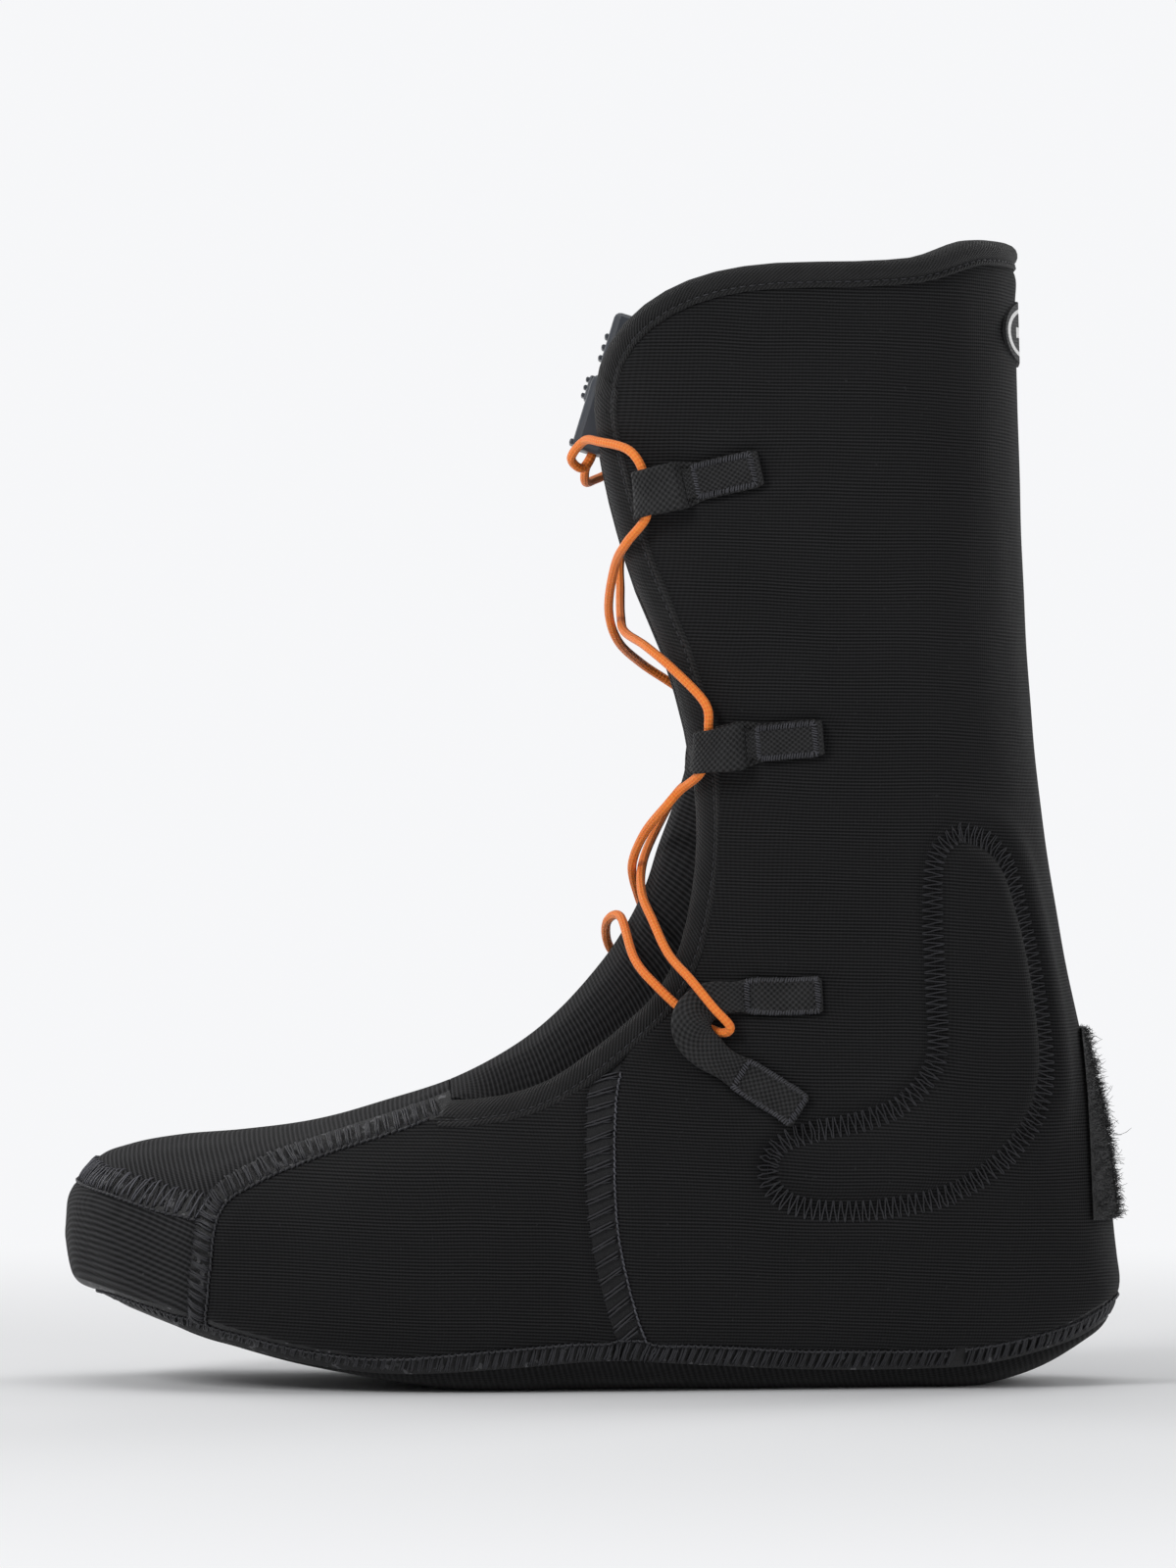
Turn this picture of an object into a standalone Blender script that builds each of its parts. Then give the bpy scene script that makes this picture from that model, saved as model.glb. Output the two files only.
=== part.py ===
"""Snowboard boot liner: the padded inner boot, with its speed lace and sliding lace lock.

The toe points to -X, the heel to +X, and Z is up. It is a left boot, so its lateral (outer)
side is at -Y. Sizes are written in millimetres and built in metres.

The body is one lofted surface: rings that fan from the toe tip, round the heel, up to the cuff.
The foam laminate is that surface thickened inwards. Bands along the sewn seams cut it apart
into its panels. Every outline below is a side view, as (x, z) pairs.
"""

from math import atan2, cos, pi, radians, sin

import bmesh
import bpy
from mathutils import Matrix, Vector
from mathutils.bvhtree import BVHTree

MM = 0.001

# Driving dimensions, in millimetres.
LAMINATE = 5.5          # outer fabric and foam
LINING_GAP = 0.8
LINING = 1.2            # brushed inner lining
CLEARANCE = 0.4         # between two panels, or a panel and its seam
SOLE_SEAM_WIDTH = 5.4
PANEL_SEAM_WIDTH = 5.4
QUARTER_SEAM_WIDTH = 7.4
BINDING_WIDTH = 6.6     # seen from the side
BINDING_THICKNESS = 9.0  # wraps the laminate and the lining
LACE_DIAMETER = 2.5
WEBBING_WIDTH = 11.0
WEBBING = 1.1           # thickness of the lace-loop webbing
TONGUE_FOAM = 5.5
TONGUE_LINING = 1.2
LATERAL, MEDIAL = -1, 1

# Rings of the body, from the toe tip to above the cuff. Each ring lies in a plane across the boot,
# from its front (or top) point to its back (or bottom) point:
# front x, front z, back x, back z, half width, sideways shift, share of the way up where it is
# widest, roundness of the front half, roundness of the back half (2 is an ellipse, 4 is boxy).
RINGS = (
    (-145.3, 43.0, -145.3, 39.0, 3.0, 8.0, 0.50, 2.0, 2.0),
    (-143.4, 52.5, -142.6, 29.5, 19.0, 8.0, 0.50, 2.4, 2.6),
    (-137.5, 60.5, -136.0, 25.5, 30.5, 7.5, 0.50, 2.5, 3.0),
    (-127.0, 65.5, -125.5, 20.5, 39.5, 6.0, 0.48, 2.5, 3.4),
    (-113.0, 68.0, -112.0, 15.5, 46.0, 4.5, 0.46, 2.5, 3.6),
    (-96.0, 69.5, -96.0, 10.5, 50.0, 2.5, 0.45, 2.4, 3.8),
    (-77.0, 72.0, -77.0, 5.5, 52.5, 0.6, 0.44, 2.3, 4.0),
    (-57.0, 77.5, -55.0, 1.5, 53.0, -0.8, 0.42, 2.2, 4.2),
    (-38.0, 84.0, -30.0, -0.8, 51.0, -2.0, 0.40, 2.1, 4.4),
    (-21.0, 93.0, -3.0, -0.8, 47.5, -2.2, 0.38, 2.0, 4.4),
    (-8.0, 103.5, 25.0, -0.8, 44.5, -2.0, 0.37, 2.0, 4.2),
    (3.0, 116.0, 55.0, -0.8, 42.5, -1.5, 0.38, 2.0, 4.0),
    (10.0, 127.0, 83.0, -0.8, 41.5, -1.0, 0.40, 2.0, 3.6),
    (15.0, 137.5, 107.0, -0.4, 41.5, -0.5, 0.43, 2.0, 3.2),
    (18.0, 148.0, 129.0, 7.2, 42.0, 0.0, 0.46, 2.0, 2.9),
    (19.7, 158.5, 144.2, 22.0, 42.3, 0.0, 0.50, 2.0, 2.7),
    (19.8, 169.5, 143.9, 46.0, 42.8, 0.0, 0.52, 2.0, 2.6),
    (18.0, 181.0, 140.7, 70.0, 43.5, 0.0, 0.52, 2.05, 2.5),
    (14.0, 194.0, 135.2, 96.0, 44.5, 0.0, 0.52, 2.1, 2.4),
    (8.6, 209.0, 129.4, 124.0, 46.0, 0.0, 0.50, 2.1, 2.3),
    (3.8, 226.0, 124.2, 156.0, 47.5, 0.0, 0.50, 2.15, 2.3),
    (0.0, 244.0, 120.8, 192.0, 49.0, 0.0, 0.50, 2.2, 2.3),
    (-2.3, 262.0, 118.6, 228.0, 50.5, 0.0, 0.50, 2.2, 2.3),
    (-3.2, 282.0, 117.6, 264.0, 52.0, 0.0, 0.50, 2.2, 2.3),
    (-3.3, 304.0, 116.6, 300.0, 53.0, 0.0, 0.50, 2.2, 2.3),
    (-3.3, 326.0, 116.0, 324.0, 53.5, 0.0, 0.50, 2.2, 2.3),
)
LAST_RING = len(RINGS) - 1

# Seams and edges, seen from the side.
SOLE_LINE = (
    (-156, 28), (-141, 26.5), (-125, 22.5), (-111, 19), (-92, 13.5), (-73, 9.5), (-50, 7.8), (-19, 9.7),
    (4, 11.3), (26, 10.3), (60, 8.4), (92, 8.4), (110, 9.9), (130, 15), (141, 20.5), (156, 27),
)
CAP_LINE = ((-156, 62), (-143, 58.8), (-130, 55.6), (-118, 52.2), (-103.5, 49.2))
FOREFOOT_LINE = (
    (-107, 18), (-106.3, 30), (-104.8, 43), (-103.3, 50), (-98, 55.8), (-86, 62.2), (-73, 66.8),
    (-50, 74.2), (-36, 79.4), (-27, 84),
)
QUARTER_LINE = ((12, 11), (7.5, 25), (3.8, 42), (2.4, 61), (3.2, 82), (7.0, 97), (12, 110))
EDGE_LINE = (
    (-37.3, 79.3), (-24, 80.8), (-11.6, 85), (-0.8, 92.3), (10, 101.2), (18.1, 109.5), (23.7, 121), (27, 136),
    (28.2, 150), (27.6, 164), (25.2, 180), (19.5, 200), (11.9, 218), (6.6, 235), (2.8, 251), (0.6, 267),
    (2.0, 280), (8.8, 291), (19.5, 298.8), (33, 303.6), (50, 305.8), (72, 306.3), (88, 307.6),
    (97, 310.4), (104.5, 313), (113, 313.4), (130, 313.4),
)
THROAT_X = EDGE_LINE[0][0]
ANKLE_PAD = (
    (101, 152), (95.8, 148.7), (93.2, 142.8), (92.7, 130), (93.5, 112), (94.2, 94), (91.5, 85.5), (84, 77.8),
    (73.6, 73.5), (58, 70.2), (50.6, 66.5), (48, 61), (49.5, 55), (56, 50.5), (70, 49), (86.9, 50.9),
    (98.8, 54.3), (109.2, 60.6), (117.3, 68.7), (122.5, 77.6), (124.4, 88), (123.5, 101), (121, 117),
    (117.5, 132), (114, 142.8), (108.5, 149.4),
)

# Folded lace loops: where the lace passes, where the sewn tab of webbing ends, and the fold's line.
LOOPS = {
    "upper": {"bight": (17.0, 244.3), "tab": (46.0, 250.6), "fold": (-0.07, 1.0)},
    "middle": {"bight": (33.6, 175.3), "tab": (63.0, 177.7), "fold": (0.11, 1.0)},
}
BIGHT_RISE = 4.0        # the lace's centre above the body, inside a loop

# The lace lock lies in the slot above the tongue, along the shin.
LOCK_TILT = radians(17)
LOCK_FOOT = (-1.0, 0.0, 256.3)   # middle of the lock's lower end
LOCK_LENGTH, LOCK_WIDTH, LOCK_DEPTH = 21.2, 21.0, 9.4
LOCK_CHANNEL_Y = 5.7    # each strand of lace runs through the lock here
LACE_IN_LOCK = 11.0
HANDLE_LENGTH, HANDLE_WIDTH, HANDLE_DEPTH = 15.6, 19.0, 7.6


def metres(*values):
    return Vector([v * MM for v in values])


def along(points, position):
    """The Catmull-Rom curve through the points, at a position counted in points."""
    last = len(points) - 1
    i = min(int(position), last - 1)
    f = position - i
    p0, p1, p2, p3 = (points[min(max(j, 0), last)] for j in (i - 1, i, i + 1, i + 2))
    return tuple(
        0.5 * (2 * b + (c - a) * f + (2 * a - 5 * b + 4 * c - d) * f * f + (3 * b - a - 3 * c + d) * f ** 3)
        for a, b, c, d in zip(p0, p1, p2, p3)
    )


def smooth_line(points, per_span=2):
    spans = len(points) - 1
    return [along(points, k / per_span) for k in range(spans * per_span)] + [tuple(points[-1])]


def thin_out(points, error, longest):
    """The same line with fewer points, none of its chords further from it than the error."""
    points = [Vector(p) for p in points]
    kept, i = [points[0]], 0
    while i < len(points) - 1:
        j = i + 1
        while j + 1 < len(points) and (points[j + 1] - points[i]).length < longest:
            chord = points[j + 1] - points[i]
            away = max((p - points[i]).cross(chord).length / chord.length for p in points[i + 1:j + 1])
            if away > error:
                break
            j += 1
        kept.append(points[j])
        i = j
    return kept


def offset_line(points, distance):
    """A side-view line moved to its left by a distance."""
    points = [Vector(p) for p in points]
    moved = []
    for i, p in enumerate(points):
        tangent = (points[min(i + 1, len(points) - 1)] - points[max(i - 1, 0)]).normalized()
        moved.append(p + distance * Vector((-tangent.y, tangent.x)))
    return moved


def ease(x, low, high):
    """0 below low, 1 above high, and smooth between them."""
    f = min(max((x - low) / (high - low), 0.0), 1.0)
    return f * f * (3 - 2 * f)


def body_point(ring, angle):
    """A point of the body's outer surface. The angle runs from the front round the medial side."""
    fx, fz, bx, bz, width, shift, widest, front, back = along(RINGS, ring)
    c, s = cos(angle), sin(angle)
    power = 2 / (front if c > 0 else back)
    up = abs(c) ** power * ((1 - widest) if c > 0 else -widest) + widest
    out = abs(s) ** power * (1 if s > 0 else -1)
    return metres(bx + (fx - bx) * up, shift + width * out, bz + (fz - bz) * up)


# Making objects

def material(name, colour, roughness, metallic=0.0):
    made = bpy.data.materials.new(name)
    made.use_nodes = True
    shader = made.node_tree.nodes["Principled BSDF"]
    shader.inputs["Base Color"].default_value = (*colour, 1)
    shader.inputs["Roughness"].default_value = roughness
    shader.inputs["Metallic"].default_value = metallic
    return made


def add_object(name, mesh, look=None, helper=False):
    made = bpy.data.objects.new(name, mesh)
    (HELPERS if helper else LINER).objects.link(made)
    if helper:
        made.hide_render = True
        made.display_type = "WIRE"
    if look:
        mesh.materials.clear()
        mesh.materials.append(look)
    return made


def mesh_from(bm, name):
    bmesh.ops.recalc_face_normals(bm, faces=bm.faces)
    mesh = bpy.data.meshes.new(name)
    bm.to_mesh(mesh)
    bm.free()
    return mesh


def evaluated(obj):
    """The object's mesh with its modifiers applied and its curve caps welded."""
    graph = bpy.context.evaluated_depsgraph_get()
    graph.update()
    mesh = bpy.data.meshes.new_from_object(obj.evaluated_get(graph))
    bm = bmesh.new()
    bm.from_mesh(mesh)
    bmesh.ops.remove_doubles(bm, verts=bm.verts, dist=1e-7)
    bm.transform(obj.matrix_world)
    bm.to_mesh(mesh)
    bm.free()
    return mesh


def boolean(obj, operation, *cutters, solver="EXACT"):
    for cutter in cutters:
        modifier = obj.modifiers.new(operation.title(), "BOOLEAN")
        modifier.operation = operation
        modifier.solver = solver
        modifier.object = cutter
    return obj


def bake(obj):
    """Applies the object's modifiers and its place."""
    mesh = evaluated(obj)
    obj.modifiers.clear()
    obj.data = mesh
    obj.matrix_world = Matrix.Identity(4)
    return obj


def prism(name, outline, half_depth=90.0):
    """A side-view outline carried straight through the boot, as a cutter."""
    curve = bpy.data.curves.new(name, "CURVE")
    curve.dimensions = "2D"
    curve.fill_mode = "BOTH"
    curve.extrude = half_depth * MM
    spline = curve.splines.new("POLY")
    spline.points.add(len(outline) - 1)
    for point, (x, z) in zip(spline.points, outline):
        point.co = (x * MM, z * MM, 0, 1)
    spline.use_cyclic_u = True
    flat = add_object(name + "_outline", curve, helper=True)
    flat.rotation_euler = (pi / 2, 0, 0)
    bpy.context.view_layer.update()
    made = add_object(name, evaluated(flat), helper=True)
    bpy.data.objects.remove(flat)
    turn_out(made)
    return made


def turn_out(obj):
    bm = bmesh.new()
    bm.from_mesh(obj.data)
    bmesh.ops.recalc_face_normals(bm, faces=bm.faces)
    bm.to_mesh(obj.data)
    bm.free()


def box(name, low, high, helper=True, look=None):
    """A box between two corners, in millimetres."""
    bm = bmesh.new()
    bmesh.ops.create_cube(bm, size=1)
    low, high = metres(*low), metres(*high)
    for v in bm.verts:
        v.co = Vector([(a + b) / 2 + c * (b - a) for a, b, c in zip(low, high, v.co)])
    return add_object(name, mesh_from(bm, name), look, helper)


def seam_band(name, line, half_width):
    smooth = smooth_line(line)
    return prism(name, offset_line(smooth, half_width) + offset_line(smooth, -half_width)[::-1])


def body_mesh(rings, around, inset=0.0, first=0.0):
    """The body's surface, open at the top, moved inwards by an inset."""
    bm = bmesh.new()
    rows = []
    for i in range(rings + 1):
        ring = first + (LAST_RING - first) * i / rings
        rows.append([bm.verts.new(body_point(ring, 2 * pi * (k + 0.5) / around)) for k in range(around)])
    bm.faces.new(rows[0])
    for low, high in zip(rows, rows[1:]):
        for k in range(around):
            j = (k + 1) % around
            bm.faces.new((low[k], low[j], high[j], high[k]))
    bmesh.ops.recalc_face_normals(bm, faces=bm.faces)
    if sum((f.calc_center_median() - metres(0, 0, 60)).dot(f.normal) for f in bm.faces) < 0:
        bmesh.ops.reverse_faces(bm, faces=bm.faces)
    bm.normal_update()
    moves = [(v, v.normal * v.calc_shell_factor()) for v in bm.verts]
    for v, normal in moves:
        v.co -= normal * inset * MM
    return bm


def thick_body(name, rings, around, inset, thickness, helper=True):
    """A layer of the body, from an inset to a deeper one."""
    bm = body_mesh(rings, around, inset)
    mesh = bpy.data.meshes.new(name)
    bm.to_mesh(mesh)
    bm.free()
    made = add_object(name, mesh, helper=helper)
    solidify = made.modifiers.new("Thickness", "SOLIDIFY")
    solidify.thickness = thickness * MM
    solidify.offset = -1
    solidify.use_even_offset = True
    return bake(made)


def copy_of(obj, name, helper=False, look=None):
    return add_object(name, obj.data.copy(), look, helper)


def islands(obj):
    """The separate bodies of a mesh, each as a new mesh, with its middle."""
    bm = bmesh.new()
    bm.from_mesh(obj.data)
    left = set(bm.verts)
    groups = []
    while left:
        group, edge = set(), [left.pop()]
        while edge:
            v = edge.pop()
            group.add(v)
            for e in v.link_edges:
                other = e.other_vert(v)
                if other in left:
                    left.discard(other)
                    edge.append(other)
        groups.append({v.index for v in group})
    bm.free()
    found = []
    for group in groups:
        part = bmesh.new()
        part.from_mesh(obj.data)
        part.verts.ensure_lookup_table()
        bmesh.ops.delete(part, geom=[v for v in part.verts if v.index not in group], context="VERTS")
        middle = sum((v.co for v in part.verts), Vector()) / len(part.verts)
        mesh = bpy.data.meshes.new("island")
        part.to_mesh(mesh)
        part.free()
        found.append((middle / MM, len(group), mesh))
    return found


def keep_largest(obj):
    """Drops the slivers that a cut leaves."""
    obj.data = max(islands(obj), key=lambda found: found[1])[2]
    return obj


# The body's surface, for placing what lies on it

def surface_tree():
    bm = body_mesh(150, 128)
    bmesh.ops.triangulate(bm, faces=bm.faces)
    tree = BVHTree.FromBMesh(bm)
    bm.free()
    return tree


def on_side(x, z, side, height=0.0):
    """The point of the body at a side-view place, raised by a height, and the normal there."""
    hit, normal, _, _ = SURFACE.ray_cast(metres(x, side * 90, z), Vector((0, -side, 0)))
    return hit + normal * height * MM, normal


def sweep(name, sections, look, helper=False):
    """A solid through matching rings of points."""
    bm = bmesh.new()
    rows = [[bm.verts.new(p) for p in section] for section in sections]
    count = len(rows[0])
    for low, high in zip(rows, rows[1:]):
        for k in range(count):
            j = (k + 1) % count
            bm.faces.new((low[k], low[j], high[j], high[k]))
    bm.faces.new(rows[0][::-1])
    bm.faces.new(rows[-1])
    return add_object(name, mesh_from(bm, name), look, helper)


# The scene starts empty, with one collection for the liner and one for its cutters.
for old in list(bpy.data.objects):
    bpy.data.objects.remove(old, do_unlink=True)
LINER = bpy.data.collections.new("boot_liner")
HELPERS = bpy.data.collections.new("cutters")
for collection in (LINER, HELPERS):
    bpy.context.scene.collection.children.link(collection)

FABRIC = material("knit_laminate", (0.014, 0.014, 0.016), 0.85)
TRIM = material("seam_thread", (0.020, 0.020, 0.022), 0.8)
FLEECE = material("brushed_lining", (0.020, 0.020, 0.022), 0.95)
TAPE = material("binding_tape", (0.010, 0.010, 0.011), 0.75)
PILE = material("loop_pile", (0.018, 0.018, 0.019), 0.95)
WEB = material("webbing", (0.012, 0.012, 0.013), 0.7)
RUBBER = material("badge_rubber", (0.45, 0.45, 0.46), 0.6)
FOAM = material("footbed_foam", (0.05, 0.05, 0.055), 0.9)
CORD = material("lace_braid", (0.85, 0.19, 0.03), 0.6)
PLASTIC = material("lock_plastic", (0.045, 0.052, 0.062), 0.42)
STEEL = material("spring_steel", (0.55, 0.55, 0.57), 0.3, 1.0)

SURFACE = surface_tree()
ROWS, AROUND = 22, 22


# The laminate, cut into its panels

edge = smooth_line(EDGE_LINE, 2)


def flap_distance(x, z):
    """How far a side-view place lies in front of the flap's edge, or behind it if negative."""
    here, best = Vector((x, z)), None
    for a, b in zip(edge, edge[1:]):
        a, b = Vector(a), Vector(b)
        f = min(max((here - a).dot(b - a) / (b - a).length_squared, 0.0), 1.0)
        away = (here - a.lerp(b, f)).length
        if best is None or away < abs(best):
            best = away if (b - a).cross(here - a) > 0 else -away
    return best


def edge_angle(ring, setback=0.0):
    """The angle at which a ring comes a setback behind the flap's edge."""
    low, high = 0.0, pi / 2
    for _ in range(18):
        middle = (low + high) / 2
        p = body_point(ring, middle) / MM
        low, high = (middle, high) if flap_distance(p.x, p.z) > -setback else (low, middle)
    return low


def body_normal(ring, angle):
    along_ring = body_point(ring, angle + 0.01) - body_point(ring, angle - 0.01)
    up = body_point(ring + 0.02, angle) - body_point(ring - 0.02, angle)
    return up.cross(along_ring).normalized()


def opening_cutter(name, setback, start):
    """The opening above the tongue, with its sides square to the body."""
    line = offset_line(edge, -setback)
    line[0].x = start
    made = prism(name, [(start, 400)] + line + [(170, line[-1].y), (170, 400)])
    rows = []
    for k in range(19):
        ring = SLOT_FIRST + k * (SLOT_LAST - SLOT_FIRST) / 18
        angle = edge_angle(ring, setback)
        med, med_out = body_point(ring, angle), body_normal(ring, angle) * MM
        lat, lat_out = body_point(ring, -angle), body_normal(ring, -angle) * MM
        front = body_point(ring, 0) + body_normal(ring, 0) * 20 * MM
        rows.append([med + med_out * 14, med - med_out * 11, lat - lat_out * 11, lat + lat_out * 14, front])
    rows.append([p + metres(0, 0, 60) for p in rows[-1]])
    slot = sweep(name + "_slot", rows, None, helper=True)
    return bake(boolean(made, "UNION", slot))


SLOT_FIRST, SLOT_LAST = 8.0, 23.2
opening = opening_cutter("opening", BINDING_WIDTH + CLEARANCE, THROAT_X)
ground = box("below_the_sole", (-200, -90, -40), (200, 90, 0))

sole_cut = seam_band("sole_seam_cut", SOLE_LINE, SOLE_SEAM_WIDTH / 2)
cap_cut = seam_band("cap_seam_cut", CAP_LINE, PANEL_SEAM_WIDTH / 2)
forefoot_cut = seam_band("forefoot_seam_cut", FOREFOOT_LINE, PANEL_SEAM_WIDTH / 2)
quarter_cut = seam_band("quarter_seam_cut", QUARTER_LINE, QUARTER_SEAM_WIDTH / 2)
sole_band = seam_band("sole_seam_band", SOLE_LINE, SOLE_SEAM_WIDTH / 2 - CLEARANCE)
cap_band = seam_band("cap_seam_band", CAP_LINE, PANEL_SEAM_WIDTH / 2 - CLEARANCE)
forefoot_band = seam_band("forefoot_seam_band", FOREFOOT_LINE, PANEL_SEAM_WIDTH / 2 - CLEARANCE)
quarter_band = seam_band("quarter_seam_band", QUARTER_LINE, QUARTER_SEAM_WIDTH / 2 - CLEARANCE)

pad_line = smooth_line(ANKLE_PAD + ANKLE_PAD[:1])[:-1]
pad_outline = prism("ankle_pad_outline", pad_line)
pad_hole = prism("ankle_pad_hole", offset_line(pad_line + pad_line[:1], -CLEARANCE)[:-1])

laminate = thick_body("laminate", ROWS, AROUND, 0, LAMINATE)
bake(boolean(laminate, "DIFFERENCE", opening, ground))
panels = copy_of(laminate, "panels", helper=True)
bake(boolean(panels, "DIFFERENCE", sole_cut, cap_cut, forefoot_cut, quarter_cut, pad_hole, solver="MANIFOLD"))


def named_islands(obj, names, look, least=12):
    """Each body of a mesh that is cut apart becomes the node whose place is nearest to its middle."""
    for middle, size, mesh in islands(obj):
        if size < least:
            bpy.data.meshes.remove(mesh)
            continue
        name = min(names, key=lambda n: (Vector(names[n]) - middle).length)
        assert name not in bpy.data.objects, (name, tuple(middle))
        add_object(name, mesh, look)
    bpy.data.objects.remove(obj, do_unlink=True)
    assert all(name in bpy.data.objects for name in names), names


named_islands(panels, {
    "sole_panel": (0, 0, 6),
    "toe_cap": (-125, 5, 40),
    "vamp": (-75, 0, 68),
    "forefoot_panel_lateral": (-45, -45, 45),
    "forefoot_panel_medial": (-45, 45, 45),
    "quarter_shell": (80, 0, 150),
}, FABRIC)

sole_seam = copy_of(laminate, "sole_seam", look=TRIM)
bake(boolean(sole_seam, "INTERSECT", sole_band))

toe_seam = copy_of(laminate, "toe_seam", look=TRIM)
bake(boolean(cap_band, "UNION", forefoot_band, solver="MANIFOLD"))
boolean(toe_seam, "DIFFERENCE", sole_cut, solver="MANIFOLD")
bake(boolean(toe_seam, "INTERSECT", cap_band, solver="MANIFOLD"))

quarter_seams = copy_of(laminate, "quarter_seams", helper=True)
boolean(quarter_seams, "DIFFERENCE", sole_cut, solver="MANIFOLD")
bake(boolean(quarter_seams, "INTERSECT", quarter_band, solver="MANIFOLD"))
named_islands(quarter_seams, {
    "quarter_seam_lateral": (5, -40, 50),
    "quarter_seam_medial": (5, 40, 50),
}, TRIM)
bpy.data.objects.remove(laminate, do_unlink=True)

# The lining follows the laminate all round, in one piece.
lining = thick_body("lining", ROWS, AROUND, LAMINATE + LINING_GAP, LINING, helper=False)
lining.data.materials.append(FLEECE)
lining_opening = opening_cutter("lining_opening", BINDING_WIDTH + 2 * CLEARANCE, THROAT_X)
keep_largest(bake(boolean(lining, "DIFFERENCE", lining_opening, solver="MANIFOLD")))

# The binding tape wraps the edge of the laminate and the lining, from the throat round the cuff.
binding_back = opening_cutter("binding_back", BINDING_WIDTH - CLEARANCE / 2, THROAT_X + CLEARANCE)
binding_front = opening_cutter("binding_front", 0.0, THROAT_X - 10)
binding = thick_body("collar_binding", ROWS, AROUND, -0.8, BINDING_THICKNESS, helper=False)
binding.data.materials.append(TAPE)
throat_gap = box("throat_gap", (-60, -90, 0), (THROAT_X + CLEARANCE, 90, 120))
boolean(boolean(binding, "INTERSECT", binding_back), "DIFFERENCE", binding_front, throat_gap)
keep_largest(bake(binding))

# The ankle pads fill their outlines and stand a little proud.
pads = thick_body("ankle_pads", ROWS, AROUND, -1.0, LAMINATE + 1.0)
bake(boolean(pads, "INTERSECT", pad_outline))
named_islands(pads, {
    "ankle_pad_lateral": (90, -40, 90),
    "ankle_pad_medial": (90, 40, 90),
}, FABRIC)

# The heel patch is a pad of loop pile on the back of the heel.
heel_outline = prism("heel_outline", (
    (134.6, 98), (135.9, 80), (136.6, 62), (137.2, 46), (160, 46), (160, 98)))
heel_patch = thick_body("heel_patch", ROWS, AROUND, -1.7, 1.35, helper=False)
heel_patch.data.materials.append(PILE)
bake(boolean(heel_patch, "INTERSECT", heel_outline))

# A plain oval badge at the back of the cuff.
bm = bmesh.new()
bmesh.ops.create_cone(
    bm, cap_ends=True, segments=32, radius1=0.5, radius2=0.5, depth=1,
    matrix=Matrix.Translation(metres(120, 0, 289)) @ Matrix.Rotation(pi / 2, 4, "Y")
    @ Matrix.Diagonal((0.018, 0.050, 0.050, 1)))
badge_outline = add_object("badge_outline", mesh_from(bm, "badge_outline"), helper=True)
rear_badge = thick_body("rear_badge", ROWS, AROUND, -1.3, 0.95, helper=False)
rear_badge.data.materials.append(RUBBER)
bake(boolean(rear_badge, "INTERSECT", badge_outline))

# The footbed lies loose on the lining, and rises with it at the toe.
core = add_object("core", bpy.data.meshes.new("core"), helper=True)
bm = body_mesh(ROWS, AROUND, LAMINATE + LINING_GAP + LINING + 0.5)
bmesh.ops.holes_fill(bm, edges=[e for e in bm.edges if e.is_boundary])
bmesh.ops.recalc_face_normals(bm, faces=bm.faces)
bm.to_mesh(core.data)
bm.free()
FOOTBED_TOP = (
    (-140, 43), (-128, 37.5), (-112, 30.5), (-96, 25), (-77, 20), (-56, 15.8), (-30, 13.4), (0, 12.6),
    (60, 12.6), (110, 13.2), (145, 15),
)
footbed_cut = prism("footbed_cut", smooth_line(FOOTBED_TOP) + [(145, -30), (-140, -30)])
footbed_nose = box("footbed_nose", (-160, -90, -10), (-131, 90, 90))
footbed = copy_of(core, "footbed", look=FOAM)
bake(boolean(boolean(footbed, "INTERSECT", footbed_cut), "DIFFERENCE", footbed_nose))


# The tongue

TONGUE_FIRST, TONGUE_LAST = 8.2, 23.35
TONGUE_SINK = (0, 0, 0, 0, 0, 0, 0, 0, 0, 0, 0, 0, 0, 0, 0.4, 2.5, 6.0, 9.0, 10.0, 9.5, 8.4, 7.6, 9.6, 16.4, 23.2)
UNDER_FLAP = 9.3


def tongue_layer(name, depth, thickness, look, rows=15, columns=10):
    """A layer of the tongue: proud between the flaps, and stepping down to pass under them."""
    grids = []
    for d in (depth, depth + thickness):
        grid = []
        for i in range(rows + 1):
            ring = TONGUE_FIRST + (TONGUE_LAST - TONGUE_FIRST) * i / rows
            at_edge = edge_angle(ring)
            half = at_edge + 0.07 + 0.17 * ease(ring, 8, 11)
            sink = along([(s,) for s in TONGUE_SINK], ring)[0]
            row = []
            for k in range(columns + 1):
                angle = half * (2 * k / columns - 1)
                under = max(UNDER_FLAP, sink)
                inset = sink + (under - sink) * ease(abs(angle), at_edge - 0.34, at_edge - 0.10)
                row.append(body_point(ring, angle) - body_normal(ring, angle) * (inset + d) * MM)
            grid.append(row)
        grids.append(grid)
    bm = bmesh.new()
    outer, inner = ([[bm.verts.new(p) for p in row] for row in grid] for grid in grids)
    for grid in (outer, inner):
        for low, high in zip(grid, grid[1:]):
            for k in range(columns):
                bm.faces.new((low[k], low[k + 1], high[k + 1], high[k]))
    rim = (outer[0] + [row[-1] for row in outer[1:-1]] + outer[-1][::-1] + [row[0] for row in outer[-2:0:-1]])
    rim_in = (inner[0] + [row[-1] for row in inner[1:-1]] + inner[-1][::-1] + [row[0] for row in inner[-2:0:-1]])
    for i in range(len(rim)):
        j = (i + 1) % len(rim)
        bm.faces.new((rim[i], rim[j], rim_in[j], rim_in[i]))
    return add_object(name, mesh_from(bm, name), look)


tongue = tongue_layer("tongue", 0.0, TONGUE_FOAM, FABRIC)
tongue_lining = tongue_layer("tongue_lining", TONGUE_FOAM + 0.4, TONGUE_LINING, FLEECE)


# Lace loops

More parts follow.
